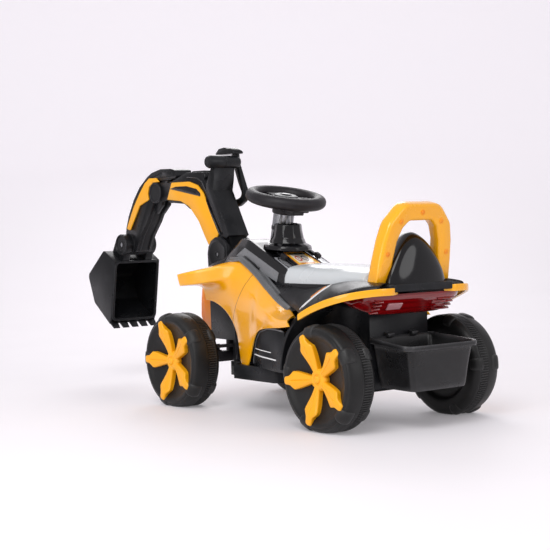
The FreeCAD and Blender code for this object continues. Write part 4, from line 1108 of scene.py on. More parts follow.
def bonnet():
    """Faceted cover: side wall, grey facet, raised rail and the sloping plate between the rails."""
    rows = []
    for x, side_y, side_z, facet_y, facet_z, rail_y, rail_z, plate_z in BONNET:
        half = [
            (side_y, side_z), (facet_y, facet_z), (rail_y, rail_z), (rail_y - 7, rail_z - 0.6),
            (rail_y - 11, plate_z),
        ]
        left = [(x, y, z) for y, z in half]
        right = [(x, -y, z) for y, z in reversed(half)]
        rows.append(left + [(x, 0, plate_z + 1)] + right)
    creases = {column: 0.85 for column in (1, 2, 3, 4, 6, 7, 8, 9)}
    cover = sheet(
        "bonnet_skin", rows, 3.0, creases=creases, row_creases={3: 0.6, 4: 0.5}, levels=3, rim=0.8,
        away=(400, 0, 300),
    )
    finished(cover, "chassis", bonnet_black, replaces=["hood_cover"], angle=22)
    for side, label in SIDES:
        facet = [
            (283, 83.4, 293), (340, 83.6, 315), (398, 83.4, 342), (438, 80.6, 350), (404, 79.8, 369),
            (350, 81.8, 346.6),
            (300, 82.6, 325), (276, 83, 314),
        ]
        plate = mesh_object(
            "bonnet_facet_" + label, [at(x, side * y, z) for x, y, z in facet], [tuple(range(len(facet)))],
        )
        if plate.data.polygons[0].normal.y * side < 0:
            plate.data.flip_normals()
        thicken(plate, 2.0)
        soften(plate, 0.6, 2)
        finished(plate, "chassis", grey_satin)
        slot_path = [
            (404, side * 83.0, 349), (388, side * 83.6, 343), (366, side * 84.0, 333),
            (344, side * 84.0, 322),
        ]
        slot = swept(
            "bonnet_slot_" + label, slot_path, [(-2.6, -2), (2.6, -2), (2.6, 1.0), (-2.6, 1.0)],
            up=(0, side, 0.2),
        )
        soften(slot, 0.5, 2)
        finished(slot, "chassis", black_gloss)
        nose_rows = []
        for x, low, top, inner, outer in (
            (606, 303, 316, 43, 56), (572, 300, 330, 43, 62), (536, 300, 338, 43, 66),
            (500, 300, 350, 43, 66),
        ):
            nose_rows.append([
                (x, side * inner, low), (x, side * inner, top), (x, side * (outer - 8), top),
                (x, side * outer, top - 8),
                (x, side * outer, low),
            ])
        nose = shell(
            "nose_cheek_" + label, nose_rows, creases={i: 0.8 for i in range(5)},
            row_creases={0: 0.8, 3: 0.8}, levels=2,
        )
        finished(nose, "chassis", black_satin)


def uv_plate(name, corners, wall, bevel=0.4):
    """Flat label with its picture laid corner to corner; corners run round from the lower left."""
    points = [at(*p) for p in corners]
    obj = mesh_object(name, points, [(0, 1, 2, 3)])
    layer = obj.data.uv_layers.new(name="UVMap")
    for loop, uv in zip(layer.data, ((0, 0), (1, 0), (1, 1), (0, 1))):
        loop.uv = uv
    thicken(obj, wall)
    soften(obj, bevel, 2)
    return obj


DASH_RISE = (381 - 315) / (404 - 258)
DASH_FOOT = (256, 315)


def dash():
    """Raised frame, printed label, and the two rocker keys on silver labels."""
    length = math.hypot(1, DASH_RISE)
    run, rise = 1 / length, DASH_RISE / length

    def on(d, y, lift):
        return (DASH_FOOT[0] + d * run - lift * rise, y, DASH_FOOT[1] + d * rise + lift * run)

    def panel(name, corners, low, high, bevel):
        ring = rounded(corners)
        plate = prism(name, [at(*on(p.y, p.x, level)) for level in (low, high) for p in ring])
        soften(plate, bevel, 3)
        return plate

    base = panel("dash_base", [(-44, 0, 4), (44, 0, 4), (38, 96, 4), (-38, 96, 4)], -4, 9, 1.8)
    borders = []
    hole = [(-36, 9), (36, 9), (31, 84), (-31, 84)]
    for i in range(4):
        a, b = hole[i], hole[(i + 1) % 4]
        path = [on(a[1], a[0], 9.4), on(b[1], b[0], 9.4)]
        bar = swept(
            f"dash_border_{i}", path, [(-1.8, -2), (1.8, -2), (1.2, 1.4), (-1.2, 1.4)], up=(-rise, 0, run),
        )
        soften(bar, 0.5, 2)
        borders.append(bar)
    finished(
        joined("dash_frame", [base] + borders), "chassis", black_gloss,
        replaces=["dash_plate"],
    )
    corners = [on(11, 34, 9.8), on(11, -34, 9.8), on(82, -29, 9.8), on(82, 29, 9.8)]
    label = uv_plate("dash_picture", corners, 0.8)
    if label.data.polygons[0].normal.z < 0:
        label.data.flip_normals()
    finished(label, "chassis", dash_label)
    for side, name, key in ((1, "left", "power_switch"), (-1, "right", "direction_switch")):
        low, high = sorted((side * 46, side * 66))
        corners = [on(6, high, 5.4), on(6, low, 5.4), on(66, low * 0.97, 5.4), on(66, high * 0.97, 5.4)]
        tag = uv_plate("key_label_" + name, corners, 5.0)
        if tag.data.polygons[0].normal.z < 0:
            tag.data.flip_normals()
        finished(tag, "chassis", silver_label)
        rocker = moulded(key, 1.0, 3)
        rocker.name = key + "_cap"
        finished(
            rocker, "power_key" if side > 0 else "direction_key", black_matte,
            replaces=[key],
        )


SADDLE = [
    # x, half width, edge z, side z, shoulder z, crown z
    (290, 79, 284, 290, 300, 303),
    (281, 80, 284, 299, 315, 318),
    (262, 81, 284, 304, 327, 330),
    (240, 81, 284, 305, 326, 333),
    (190, 81, 284, 305, 326, 332),
    (130, 83, 285, 306, 325, 332),
    (84, 84, 288, 307, 324, 331),
    (40, 84, 299, 309, 322, 328),
    (0, 78, 300, 307, 319, 324),
    (-7, 72, 300, 303, 308, 310),
]


def seat():
    """White saddle with a dark lip along each side."""
    rows = []
    for x, half, edge, side, shoulder, crown in SADDLE:
        profile = [
            (half, edge), (half - 1, side), (half - 12, shoulder), (half - 40, crown), (0, crown + 1),
        ]
        rows.append([(x, y, z) for y, z in profile] + [(x, -y, z) for y, z in reversed(profile[:-1])])
    saddle = sheet(
        "saddle_skin", rows, 3.4, creases={0: 1.0, 8: 1.0, 1: 0.3, 7: 0.3}, row_creases={2: 0.6, 8: 0.5},
        levels=3, rim=1.0, away=(160, 0, 280),
    )
    finished(saddle, "chassis", seat_white, replaces=["seat_saddle"], angle=50)
    for side, label in SIDES:
        lip = swept(
            "seat_lip_" + label, [
                (292, side * 81, 284), (200, side * 82, 284), (120, side * 83, 285), (70, side * 86, 287),
            ],
            [(-2.4, -4), (2.6, -4), (2.6, 7), (1.6, 8), (-2.4, 8)],
        )
        soften(lip, 0.6, 2)
        finished(lip, "chassis", black_satin)


# ------------------------------------------------------------------ tail


def tail():
    """Thick-edged ledge behind the dome, the red lamp with its ribs, and its reflector."""
    half = [(70, 78), (20, 84), (-40, 90), (-78, 92), (-100, 84, 10)]
    ring = half + [(x, -y, *r) for x, y, *r in reversed(half)]
    ledge = slab("tail_ledge", ring, 282, 298, "plan", bevel=2.6)
    finished(ledge, "chassis", black_satin, replaces=["rear_deck"])

    def lens(y, back, low, front):
        return [
            (-88 + back * 0.5, y, 278), (-86 + back * 0.6, y, 266), (-60 + back, y, low + 2),
            (-54 + back, y, low), (front, y, low + 4), (front, y, 278),
        ]

    half_rows = [
        (0, 0, 234, -34), (50, 0, 234, -34), (88, 2, 235, -30), (108, 10, 240, -16), (122, 24, 250, 0),
        (128, 36, 258, 8),
    ]
    rows = [lens(-y, back, low, front) for y, back, low, front in reversed(half_rows)]
    rows += [lens(y, back, low, front) for y, back, low, front in half_rows[1:]]
    lamp = shell(
        "tail_lens", rows, creases={i: 0.8 for i in range(6)}, row_creases={0: 0.8, len(rows) - 1: 0.8},
    )
    finished(lamp, "chassis", red_lens, replaces=["tail_lamp_bar"])

    def face(share, lift):
        """Point on the sloping rear face of the lens, from its top to its foot."""
        return (-86 + 26 * share - lift * 0.76, 267 - 31 * share - lift * 0.64)

    ribs = []
    for side, first, last in ((-1, 52, 106), (1, 98, 116)):
        for i in range(4):
            x, z = face(0.12 + 0.24 * i, 1.0)
            path = [(x + (5 if y > 100 else 0), side * y, z) for y in (first, 0.5 * (first + last), last)]
            bar = swept(
                f"lens_rib_{side}_{i}", path, [(-2.2, -3), (2.2, -3), (1.2, 2.2), (-1.2, 2.2)],
                up=(-0.76, 0, -0.64),
            )
            soften(bar, 0.6, 2)
            ribs.append(bar)
    finished(joined("lens_ribs", ribs), "chassis", red_lens)
    plates = []
    for side in (1, -1):
        points = []
        for lift in (-1.0, 2.0):
            for share, y in ((0.26, 80), (0.26, 42), (0.66, 42), (0.66, 80)):
                x, z = face(share, lift)
                points.append(at(x, side * y, z))
        faces = [(0, 1, 2, 3), (7, 6, 5, 4), (0, 4, 5, 1), (1, 5, 6, 2), (2, 6, 7, 3), (3, 7, 4, 0)]
        plate = outward(mesh_object(f"reflector_{side}", points, faces))
        soften(plate, 0.6, 2)
        plates.append(plate)
    # The left reflector carries the pale pink painted highlight; its right-hand twin stays plain red lens.
    finished(plates[0], "chassis", reflector, replaces=["tail_reflectors"])
    finished(plates[1], "chassis", red_lens)


def dome():
    """Glossy back rest: broad at the tail, drawn in to a rounded point at the top."""
    levels = [
        # z, rear x, widest x, front x, half width
        (296, -99, -76, -8, 80), (302, -99, -76, -8, 80), (320, -98, -76, -9, 75), (340, -95, -75, -12, 65),
        (360, -92, -73, -16, 52), (378, -87, -70, -21, 38), (391, -80, -64, -28, 25),
        (399, -71, -57, -36, 14), (402, -62, -52, -43, 6),
    ]
    rows = []
    for z, rear, widest, front, half in levels:
        row = []
        for angle in range(0, 360, 15):
            c, s = math.cos(math.radians(angle)), math.sin(math.radians(angle))
            reach = front - widest if c > 0 else widest - rear
            row.append((widest + reach * c, half * s, z))
        rows.append(row)
    obj = shell("back_dome", rows, row_creases={0: 1.0})
    finished(obj, "chassis", black_gloss, replaces=["backrest"], angle=60)


HOOP_SCREWS = [(82, 66), (56, 132), (0, 151), (-56, 132), (-82, 66)]


def hoop():
    """Yellow hoop of a rounded trapezoid, leaning back, with five sunk screws."""
    outer = [
        (-104, -3), (-100, 50), (-95, 92), (-86, 128, 34), (-50, 169, 36), (50, 169, 36), (86, 128, 34),
        (95, 92), (100, 50), (104, -3),
    ]
    inner = [
        (67, -3), (63, 50), (58, 90), (47, 118, 22), (30, 133, 16), (-30, 133, 16), (-47, 118, 22),
        (-58, 90), (-63, 50), (-67, -3),
    ]
    path = rounded(outer, 6)
    core = rounded(inner, 6)
    ring = [(p.x, p.y) for p in path] + [(p.x, p.y) for p in core]
    lean = Matrix.Translation((-52, 0, 297)) @ Matrix.Rotation(math.radians(-HOOP_LEAN), 4, "Y")
    arch = prism("hoop_body", [(x, y, z) for x in (-16.0, 16.0) for y, z in ring])
    placed(arch, millimetres(lean))
    soften(arch, 7.5, 5, 40)
    finished(arch, "chassis", yellow, replaces=["back_hoop"], angle=50)
    well = [(5.4, 0.6), (5.2, -0.2), (3.6, -0.3), (3.4, 0.6)]
    spots = [Vector((-16.2, y, z)) for y, z in HOOP_SCREWS]
    back = Matrix.Rotation(math.radians(-90), 4, "Y")
    # The screw wells and heads take the darker orange copy of the yellow: painted shade in the sunk recesses.
    for name, profile, tint, slot, gone in (
        ("hoop_screw_wells", well, shaded_yellow, "yellow_shell", ()),
        (
            "hoop_screw_heads", [(0, -0.2), (3.2, -0.2), (3.2, 0.4), (2.4, 0.9), (0, 1.0)], shaded_yellow,
            "yellow_shell", ["hoop_screws"],
        ),
    ):
        shape = turned(name + "_shape", profile, Matrix.Identity(4), segments=16)
        placed(shape, Matrix.Translation((-AXLE_X, 0, 0)))
        placed(shape, (Matrix.Rotation(math.radians(-HOOP_LEAN), 4, "Y") @ back))
        points = [at(*(lean @ p)) for p in spots]
        copies = repeated(name, SPOTS, shape, tint, points=points)
        finished(copies, "chassis", tint, replaces=gone)


def basket():
    """Tapered tub with a rolled rim and rounded corners."""
    def ring(front_x, rear_x, front_half, rear_half, front_z, rear_z, corner):
        outline = [
            (front_x, front_half, corner * 0.6), (rear_x, rear_half, corner), (rear_x, -rear_half, corner),
            (front_x, -front_half, corner * 0.6),
        ]
        run = front_x - rear_x
        return [(p.x, p.y, rear_z + (front_z - rear_z) * (p.x - rear_x) / run) for p in rounded(outline, 4)]

    levels = [
        ring(-46, -134, 60, 66, 84, 84, 8), ring(-37, -143, 69, 75, 84, 84, 12),
        ring(-34, -146, 72, 78, 90, 89, 16),
        ring(-32, -148, 77, 84, 130, 126, 17), ring(-29, -151, 82, 92, 172, 162, 18), ring(
            -28, -152, 84, 95, 176, 166, 18,
        ),
        ring(-23, -157, 89, 104, 177, 167, 20), ring(-22.5, -158, 90, 105, 181, 171, 20), ring(
            -23, -157, 89, 104, 188.5, 177.5, 20,
        ),
        ring(-30, -149, 82, 95, 188, 177, 16), ring(-32, -147, 79, 90, 176, 166, 15), ring(
            -35, -144, 74, 81, 130, 126, 14,
        ),
        ring(-38, -141, 68, 74, 92, 91, 12), ring(-48, -132, 58, 64, 88.5, 88.5, 7),
    ]
    tub = shell("basket_tub", levels, row_creases={1: 0.3, 6: 0.5, 8: 0.5}, levels=1)
    finished(tub, "chassis", basket_black, replaces=["rear_basket"], angle=40)
    hooks = []
    for y in (-34, 34):
        hooks.append(
            slab(
                f"basket_hook_{y}", [(-36, 186), (-36, 194, 2), (-20, 196, 2), (-20, 186)], y - 9, y + 9,
                bevel=1.2,
            )
        )
    finished(joined("basket_hooks", hooks), "chassis", basket_black)


# ------------------------------------------------------------------ steering


def steering():
    """Steering wheel, horn button, column and the boot at its foot."""
    place = Matrix.Translation((RIM_CENTRE[0], 0, RIM_CENTRE[1])) @ Matrix.Rotation(
        math.radians(-COLUMN_TILT), 4, "Y",
    )
    section = []
    for i in range(28):
        angle = 2 * math.pi * i / 28
        squash = 1.0 if abs(math.sin(angle)) > 0.2 or math.cos(angle) < 0 else 0.965
        section.append((78 + 15.4 * squash * math.cos(angle), 14.6 * math.sin(angle)))
    rim = turned("rim_ring", section, place, segments=96)
    pad_outline = []
    for i in range(72):
        angle = 2 * math.pi * i / 72
        near = min(
            abs((angle - math.radians(a) + math.pi) % (2 * math.pi) - math.pi)
            for a in (0, 120, 240)
        )
        reach = 31 + 40 / (1 + (near / 0.3) ** 4)
        pad_outline.append((reach * math.cos(angle), reach * math.sin(angle)))
    pad = slab("rim_pad", pad_outline, -8, 3, "own", bevel=0)
    placed(pad, millimetres(place))
    soften(pad, 2.0, 3, 40)
    hub = turned(
        "rim_hub", [(0, -35), (27, -35), (28, -33), (28, -16), (32, -10), (32, 0), (0, 0)], place,
        segments=48,
    )
    boxes = []
    for i, (low_x, high_x, half, low_z, high_z) in enumerate(
        ((-62, -6, 24, -22, -6), (-52, -14, 18, -30, -20))
    ):
        box = slab(
            f"horn_box_{i}", [(low_x, -half, 5), (high_x, -half), (high_x, half), (low_x, half, 5)], low_z,
            high_z, "own", bevel=0,
        )
        placed(box, millimetres(place))
        soften(box, 1.6, 3)
        boxes.append(box)
    wheel = joined("steering_wheel_moulding", [rim, pad, hub] + boxes)
    finished(wheel, "steering_wheel", black_matte, replaces=["steering_rim"], angle=40)
    cover = turned(
        "rim_centre_cover",
        [(12.6, 2.6), (27, 2.6), (27.4, 5), (26, 7.4), (22, 8.6), (14.2, 8.6), (12.9, 7.6)], place,
        segments=64,
    )
    finished(cover, "steering_wheel", black_satin, replaces=["steering_hub_cover"])
    button = turned(
        "horn_cap", [(0, -4), (11.4, -4), (12, -3), (12, 8.6), (11, 10), (7, 11.2), (0, 11.6)], place,
        segments=48,
    )
    finished(button, "horn_key", black_gloss, replaces=["horn_button"])
    slits = []
    for i in range(3):
        for turn in (120, 240):
            bar = slab(
                f"pad_rib_{turn}_{i}",
                [(38 + 9 * i, -10), (42 + 9 * i, -10), (42 + 9 * i, 10), (38 + 9 * i, 10)], 2.4, 4.4,
                "own", bevel=0,
            )
            placed(bar, millimetres(place @ Matrix.Rotation(math.radians(turn), 4, "Z")))
            soften(bar, 0.6, 2)
            slits.append(bar)
    finished(joined("pad_ribs", slits), "steering_wheel", black_satin)
    sleeve = turned(
        "column_cover", [
            (6.4, -98), (23, -98), (24, -97), (24, -74), (25.2, -73), (25.2, -66), (24, -65), (24, -37),
            (23, -36), (6.4, -36),
        ],
        place, segments=48,
    )
    steel_part = moulded("steering_shaft", 0.3, 1)
    steel_part.name = "steering_shaft_steel"
    finished(sleeve, "steering_wheel", black_satin)
    finished(steel_part, "steering_wheel", steel, replaces=["steering_shaft"])
    boot = turned(
        "column_boot",
        [
            (25.5, 424), (28.5, 424), (31, 421.6), (33, 408), (36.5, 392), (40, 386), (42, 380), (54, 374),
            (56, 368), (56, 364), (25.5, 364),
        ],
        Matrix.Translation((372, 0, 0)) @ Matrix.Rotation(math.radians(-4), 4, "Y"), segments=10,
        first=math.radians(18),
    )
    soften(boot, 1.2, 3, 15)
    finished(boot, "chassis", black_gloss, replaces=["steering_boot"], angle=25)


# ------------------------------------------------------------------ digging arm


def disc(name, centre, low, high, radius, hole=0.0, side=1, dish=1.6):
    """Round boss with a dished face, standing on a side plate."""
    profile = [
        (hole, low), (radius, low), (radius, high - 1.4), (radius - 1.4, high), (radius - 4, high),
        (radius - 5.5, high - dish),
    ]
    if hole:
        profile += [(hole + 2.4, high - dish), (hole + 1.2, high - dish + 1.0), (hole, high - dish + 1.0)]
    else:
        profile += [(0, high - dish)]
    return turned(name, profile, across(centre, side), segments=48)


BOOM_PANEL = [
    (580, 398, 4), (612, 450), (640, 500), (664, 520, 12), (700, 530, 16), (779, 530), (801, 487),
    (740, 482, 40),
    (702, 468, 40), (662, 431, 40), (636, 392, 20), (622, 373, 3), (602, 376, 8),
]
LOUVRE = [
    (786, 514), (760, 519, 14), (712, 519, 14), (668, 511, 10), (650, 499, 4), (652, 492, 2),
    (700, 500, 20), (750, 508, 20),
]
LOUVRE_RIB = [(774, 513.6), (744, 515, 8), (706, 512), (672, 503), (670, 499), (708, 505), (746, 511, 8)]
STICK_PANEL = [
    (852, 544, 4), (838, 533.4), (866, 533, 6), (886, 522, 6), (893, 504, 8), (889, 489, 3),
    (934, 474, 6), (984, 410, 3),
    (1000, 414, 4), (986, 436), (962, 472), (934, 504), (906, 532, 6), (884, 544, 6),
]
STICK_BODY = [
    (776, 542), (790, 537), (838, 537, 4), (872, 531, 8), (888, 508, 14), (887, 494), (872, 478),
    (906, 430), (938, 396),
    (962, 352, 10), (1000, 348), (1016, 372), (1008, 416), (996, 446), (968, 490), (938, 522, 16),
    (904, 545),
]


def stick_and_its_cover():
    """Slim stick with its hub, tongue, black cap and yellow side panels."""
    body = slab("stick_bar", STICK_BODY, -23.6, 23.6, bevel=3.0)
    cuts = []
    radius = 29.5
    for name, centre in (("boss", STICK_PIVOT), ("drum", BUCKET_PIVOT)):
        profile = [(0, -40), (radius, -40), (radius, 40), (0, 40)]
        tool = turned("stick_gap_" + name, profile, across(centre), segments=64)
        change = body.modifiers.new("gap", "BOOLEAN")
        change.operation = "DIFFERENCE"
        change.solver = "EXACT"
        change.object = tool
        body.modifiers.move(len(body.modifiers) - 1, 0)
        cuts.append(tool)
    plain(body)
    for tool in cuts:
        bpy.data.objects.remove(tool)
    pieces = [body]
    tongue = arc(STICK_PIVOT, 19.5, 60, 220, 9) + [(846, 474), (874, 452), (902, 486), (880, 516)]
    neck = [(952, 396), (966, 354), (1000, 350), (1016, 372), (1004, 412)]
    for low, high in ((5, 14.4), (-14.4, -5)):
        pieces.append(slab(f"stick_tongue_{low}", tongue, low, high, bevel=0.8))
    pieces.append(slab("stick_neck", neck, -21, 21, bevel=1.5))
    hub = [(6.4, -23.6), (26, -23.6), (27.6, -22), (27.6, 22), (26, 23.6), (6.4, 23.6)]
    pieces.append(turned("stick_hub", hub, across(BUCKET_PIVOT), segments=48))
    for y in (14.0, -14.0):
        ridge = swept(
            f"stick_ridge_{y}", [(880, y, 463), (906, y, 429), (936, y, 396), (958, y, 356)],
            [(-3, -3), (3, -3), (2, 1.6), (-2, 1.6)], up=(-0.8, 0, -0.6),
        )
        soften(ridge, 0.8, 2)
        pieces.append(ridge)
    finished(
        joined("stick_moulding", pieces), "stick", black_satin, replaces=["stick_frame"],
    )
    cap = [
        (760, 547, 3), (768, 561, 5), (786, 565, 6), (834, 566, 14), (876, 558, 20), (906, 544, 5),
        (902, 540), (768, 541),
    ]
    lid = slab("stick_cap", cap, -24.4, 24.4, bevel=3.2)
    inset = slab(
        "stick_cap_inset", [(776, 546), (780, 558, 4), (822, 560, 6), (830, 546)], -26, 26, bevel=1.6,
    )
    finished(
        joined("stick_cover", [lid, inset]), "stick", black_satin,
        replaces=["stick_fairing"],
    )
    for side, label in SIDES:
        low, high = sorted((side * 23.0, side * 28.2))
        cover = slab("stick_cover_" + label, STICK_PANEL, low, high, bevel=1.6)
        finished(cover, "stick", yellow_satin, replaces=["stick_panel_" + label])


def bucket():
    """Bucket with a raised lip round its mouth."""
    shell_copy = moulded("bucket_shell", 3.0, 3)
    low, high = Vector((998, 326)), Vector((1022, 172))
    corners = rounded([(-66, 0.0, 12), (66, 0.0, 12), (66, 154.0, 12), (-66, 154.0, 12)], 5)
    path = []
    for p in corners:
        share = p.y / 154.0
        path.append((low.x + (high.x - low.x) * share - 1, p.x, low.y + (high.y - low.y) * share))
    lip = swept(
        "bucket_lip", path, [(-4, -3.4), (4, -3.4), (3.4, 3), (-3.4, 3)], up=(-1, 0, -0.16), closed=True,
    )
    soften(lip, 1.4, 2)
    finished(
        joined("bucket_moulding", [shell_copy, lip]), "bucket", black_satin,
        replaces=["bucket_shell"],
    )


def boom():
    """Boom, its covers, pads and bosses, and the lever above the grip."""
    for node, body, width in (
        ("boom_frame", "boom", 2.0), ("arm_bracket", "chassis", 2.0), ("dig_lever", "lever", 2.2),
    ):
        finished(moulded(node, width), body, black_satin, replaces=[node])
    cap = slab(
        "boom_cap", [(752, 533), (750, 540, 4), (722, 553, 8), (648, 552, 6), (637, 540), (648, 531)], -22,
        22, bevel=3.0,
    )
    rise = slab("boom_cap_rise", [(716, 548), (704, 556, 4), (652, 556, 4), (648, 548)], -15, 15, bevel=2.0)
    finished(
        joined("boom_cover", [cap, rise]), "boom", black_satin, replaces=["boom_fairing"],
    )
    border = slab(
        "boom_under_border",
        [(700, 468), (730, 484), (800, 490), (804, 480, 3), (730, 475, 20), (704, 461)], -24, 24,
        bevel=2.0,
    )
    finished(border, "boom", black_satin)
    for side, label in SIDES:
        low, high = sorted((side * 23.6, side * 28.4))
        finished(
            slab("boom_side_" + label, BOOM_PANEL, low, high, bevel=1.6), "boom",
            yellow_satin,
            replaces=["boom_panel_" + label],
        )
        low, high = sorted((side * 27.4, side * 29.6))
        pieces = [slab("louvre_" + label, LOUVRE, low, high, bevel=0.8)]
        low, high = sorted((side * 29.0, side * 31.4))
        pieces.append(slab("louvre_rib_" + label, LOUVRE_RIB, low, high, bevel=0.7))
        finished(joined("boom_louvre_" + label, pieces), "boom", black_gloss)
        for i, shift in enumerate((0, 10)):
            run = [
                (566 + shift, side * 24, 404 - shift * 0.7), (598 + shift, side * 24, 452 - shift * 0.7),
                (630 + shift, side * 24, 502 - shift * 0.7),
            ]
            if i == 0:
                run = run + [(648, side * 24, 528), (668, side * 24, 538), (712, side * 24, 541)]
            bar = swept(
                f"boom_ridge_{label}_{i}", run, [(-2.4, -2.0), (2.4, -2.0), (1.4, 3.4), (-1.4, 3.4)],
                up=(0, side, 0),
            )
            soften(bar, 0.7, 2)
            finished(bar, "boom", black_gloss)
        boss = disc("stick_hub_" + label, STICK_PIVOT, 23.4, 28.8, 27, side=side)
        finished(boss, "boom", black_satin)
        cheek = disc("boom_cheek_" + label, BOOM_PIVOT, 40.6, 43.6, 33, hole=5.4, side=side, dish=1.0)
        finished(cheek, "chassis", black_satin)
        drum = disc("bucket_drum_cap_" + label, BUCKET_PIVOT, 43.6, 48.0, 27.4, hole=7, side=side, dish=2.2)
        finished(drum, "bucket", black_satin)
    grip = turned(
        "grip_drum",
        [(0, -47), (9, -47), (10, -46), (12.6, -46), (15.8, -40), (15.8, -1.2), (15.0, -0.5), (15.0, 0.5), (15.8, 1.2),
         (15.8, 40), (12.6, 46), (10, 46), (9, 47), (0, 47)],
        across((593, 574)), segments=40,
    )
    finished(grip, "boom", black_satin, replaces=["grip_bar"])
    pad_rows = []
    for y, drop in ((-53, 7), (-50, 2), (-44, 0), (-30, 0), (-23, 2), (-20, 7)):
        pad_rows.append([
            (578, y, 594), (577, y, 601 - drop * 0.7), (588, y, 608 - drop), (606, y, 610.4 - drop),
            (626, y, 610 - drop),
            (646, y, 604 - drop), (657, y, 598 - drop * 0.3), (652, y, 594), (616, y, 592.4),
        ])
    pad = shell("lever_pad", pad_rows, creases={0: 0.5, 7: 0.5}, row_creases={1: 0.2, 4: 0.2})
    finished(pad, "lever", black_satin)


# ------------------------------------------------------------------ lower body and running gear


def tuck_ends(piece):
    """Draws the nuts on the ends of an axle in, under the caps of the stars."""
    for vertex in piece.data.vertices:
        if abs(vertex.co.y) > 0.2:
            vertex.co.y -= math.copysign(NUT_TUCK / 1000, vertex.co.y)


def lower_body():
    """Tub, tray, running gear, wheel arch walls and the lines on the side boxes."""
    for node, width, slot, tint in (
        ("chassis_tub", 1.6, "black_shell", black_satin),
        ("floor_tray", 1.6, "black_shell", black_satin),
        # The front fascia takes the darker orange copy of the yellow: painted shade, as it stands in the shadow behind
        # the front wheel arch.
        ("front_fascia", 2.6, "yellow_shell", shaded_yellow),
        ("gearbox_case", 1.4, "black_matte", black_matte),
        ("drive_motor", 0.8, "steel", steel),
        ("battery", 1.6, "battery_case", battery_grey),
        ("front_axle_beam", 1.2, "black_matte", black_matte),
        ("rear_axle", 0.6, "steel", steel),
    ):
        piece = moulded(node, width)
        if node == "rear_axle":
            tuck_ends(piece)
        finished(piece, "chassis", tint, replaces=[node])
    for side in ("left", "right"):
        piece = moulded("knuckle_" + side, 0.5)
        tuck_ends(piece)
        finished(piece, side + "_knuckle", black_matte, replaces=["knuckle_" + side])
    rod = moulded("tie_rod", 0.6)
    finished(rod, "steering_rod", black_matte, replaces=["tie_rod"])
    for side, label in SIDES:
        low, high = sorted((side * 82.6, side * 86.6))
        arch = [
            (402, 108), (440, 108), (440, 154), (528, 154), (536, 176), (538, 240), (520, 290),
            (470, 300), (410, 300),
        ]
        liner = slab("arch_liner_" + label, arch, low, high, bevel=1.4)
        rib = swept(
            "arch_rib_" + label, [
                (432, side * 87, 110), (434, side * 87, 160), (440, side * 87, 200), (452, side * 87, 236),
            ],
            [(-4, -3), (4, -3), (3, 3), (-3, 3)], up=(0, side, 0),
        )
        soften(rib, 1.2, 2)
        finished(joined("arch_wall_" + label, [liner, rib]), "chassis", black_satin)
    for side, label in SIDES:
        top = swept(
            "side_box_border_" + label,
            [
                (156, side * 168, 196), (190, side * 162, 198), (236, side * 148.6, 196),
                (281, side * 134, 186), (310, side * 122, 168), (330, side * 113, 140),
                (340, side * 109, 110),
            ],
            [(-1.6, -1.6), (1.6, -1.6), (1.6, 1.6), (-1.6, 1.6)],
        )
        soften(top, 0.4, 2)
        finished(top, "chassis", grey_satin)
        for i, (z, first, last, thick) in enumerate(((132, 0.0, 1.0, 1.3), (146, 0.2, 0.92, 0.9))):
            start, bend, end = Vector((190, 162, z)), Vector((281, 134, z)), Vector((334, 111, z))
            path = []
            for step in range(7):
                t = first + (last - first) * step / 6
                p = start.lerp(bend, t / 0.62) if t < 0.62 else bend.lerp(end, (t - 0.62) / 0.38)
                path.append((p.x, side * (p.y + 0.4), p.z))
            line = swept(
                f"side_box_line_{label}_{i}", path,
                [(-0.7, -thick), (0.7, -thick), (0.7, thick), (-0.7, thick)],
            )
            finished(line, "chassis", stripe_white)


# ------------------------------------------------------------------ the rest of the CAD pieces


def dress_cad():
    """Procedural finish for the CAD pieces that stay as they are."""
    for node in ("boom_pivot_pin", "stick_pivot_pin", "bucket_pin", "drag_link"):
        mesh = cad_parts[node].data
        mesh.materials.clear()
        mesh.materials.append(steel)


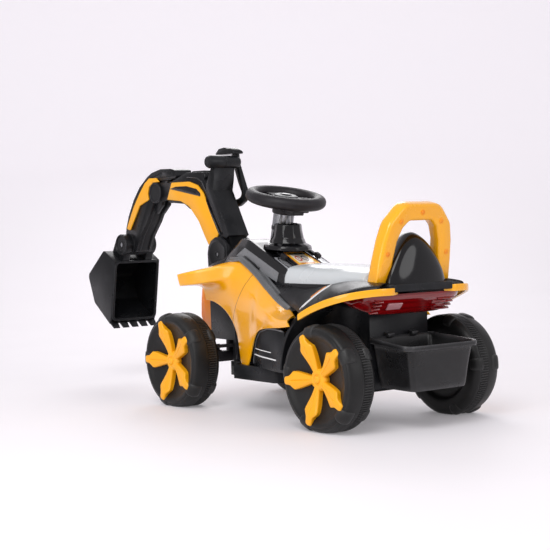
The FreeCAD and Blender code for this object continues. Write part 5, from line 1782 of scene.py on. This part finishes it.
def floor_and_light():
    """Pale sweep, soft boxes and a near-white room."""
    rows = [(-4.5, 0.0), (1.2, 0.0), (2.2, 0.04), (3.0, 0.35), (3.5, 1.0), (3.7, 2.2), (3.75, 4.5)]
    look = Vector((math.cos(math.radians(-37.8)), math.sin(math.radians(-37.8)), 0))
    side = Vector((-look.y, look.x, 0))
    points, faces = [], []
    for d, z in rows:
        for w in (-6, 6):
            points.append(look * d + side * w + Vector((0, 0, z)))
    for i in range(len(rows) - 1):
        faces.append((2 * i, 2 * i + 1, 2 * i + 3, 2 * i + 2))
    sweep = mesh_object("studio_sweep", points, faces)
    modifier(sweep, "SUBSURF", levels=3, render_levels=3)
    sweep.data.polygons.foreach_set("use_smooth", [True] * len(sweep.data.polygons))
    paper, tree, shader = new_material("studio_paper")
    spot = put(tree, "ShaderNodeTexCoord").outputs["Object"]
    mottling = put(tree, "ShaderNodeTexNoise", Vector=spot, Scale=3.0, Detail=2.0)
    height = put(tree, "ShaderNodeSeparateXYZ", Vector=spot).outputs["Z"]
    up = put(tree, "ShaderNodeMapRange", Value=height, From_Min=0.0, From_Max=0.7).outputs["Result"]
    # Painted shade: the lying part of the sweep is coloured darker than the upright part, though both are the same
    # paper; the mottling is random tone.
    shaded_floor = mix_colour(tree, mottling.outputs["Fac"], linear(222, 219, 222), linear(226, 223, 226))
    colour = mix_colour(tree, up, shaded_floor, linear(247, 244, 248))
    tree.links.new(colour, shader.inputs["Base Color"])
    # The paper also glows faintly through its emission: painted light of its own, beside the lamps.
    tree.links.new(colour, shader.inputs["Emission Color"])
    shader.inputs["Emission Strength"].default_value = 0.2
    shader.inputs["Roughness"].default_value = 0.6
    sweep.data.materials.append(paper)
    world = bpy.data.worlds.new("studio")
    SCENE.world = world
    world.use_nodes = True
    backdrop = world.node_tree.nodes["Background"]
    backdrop.inputs["Color"].default_value = linear(250, 246, 251)
    backdrop.inputs["Strength"].default_value = 0.6
    centre = Vector((0.0, 0.0, 0.25))
    for name, place, size, power in (
        ("key_box", (-1.3, 1.7, 2.3), 1.8, 37),
        ("side_box", (-0.6, 3.0, 0.9), 1.5, 16),
        ("rim_box", (1.9, -1.4, 1.9), 1.6, 20),
        ("back_box", (-2.6, -0.6, 1.2), 1.4, 10),
    ):
        lamp = bpy.data.lights.new(name, "AREA")
        lamp.shape = "DISK"
        lamp.size = size
        lamp.energy = power
        holder = bpy.data.objects.new(name, lamp)
        holder.location = place
        holder.rotation_mode = "QUATERNION"
        holder.rotation_quaternion = (centre - Vector(place)).to_track_quat("-Z", "Y")
        SCENE.collection.objects.link(holder)


def camera():
    """Long lens from behind on the left, a little above the wheels."""
    yaw, pitch, roll = (math.radians(a) for a in (-37.794, 2.5516, -1.2583))
    ahead = Vector((math.cos(yaw) * math.cos(pitch), math.sin(yaw) * math.cos(pitch), -math.sin(pitch)))
    right = ahead.cross(Vector((0, 0, 1))).normalized()
    above = right.cross(ahead)
    tilted_right = right * math.cos(roll) + above * math.sin(roll)
    tilted_above = above * math.cos(roll) - right * math.sin(roll)
    data = bpy.data.cameras.new("studio_camera")
    data.sensor_width = 36.0
    data.lens = 88.22
    holder = bpy.data.objects.new("studio_camera", data)
    turn = Matrix((tilted_right, tilted_above, -ahead)).transposed().to_4x4()
    holder.matrix_world = Matrix.Translation(at(-2078.5, 1918.84, 442.52)) @ turn
    SCENE.collection.objects.link(holder)
    SCENE.camera = holder


camera()
floor_and_light()
make_wheel("rear_left", 0.0, 1, -5.0)
make_wheel("rear_right", 0.0, -1, -5.0)
make_wheel("front_left", WHEELBASE, 1, -0.6)
make_wheel("front_right", WHEELBASE, -1, -0.6)
side_panels()
ridge_bands()
trims()
haunches()
stripes()
bonnet()
dash()
seat()
tail()
dome()
hoop()
basket()
steering()
boom()
stick_and_its_cover()
bucket()
lower_body()
dress_cad()
SCENE.view_settings.view_transform = "Standard"
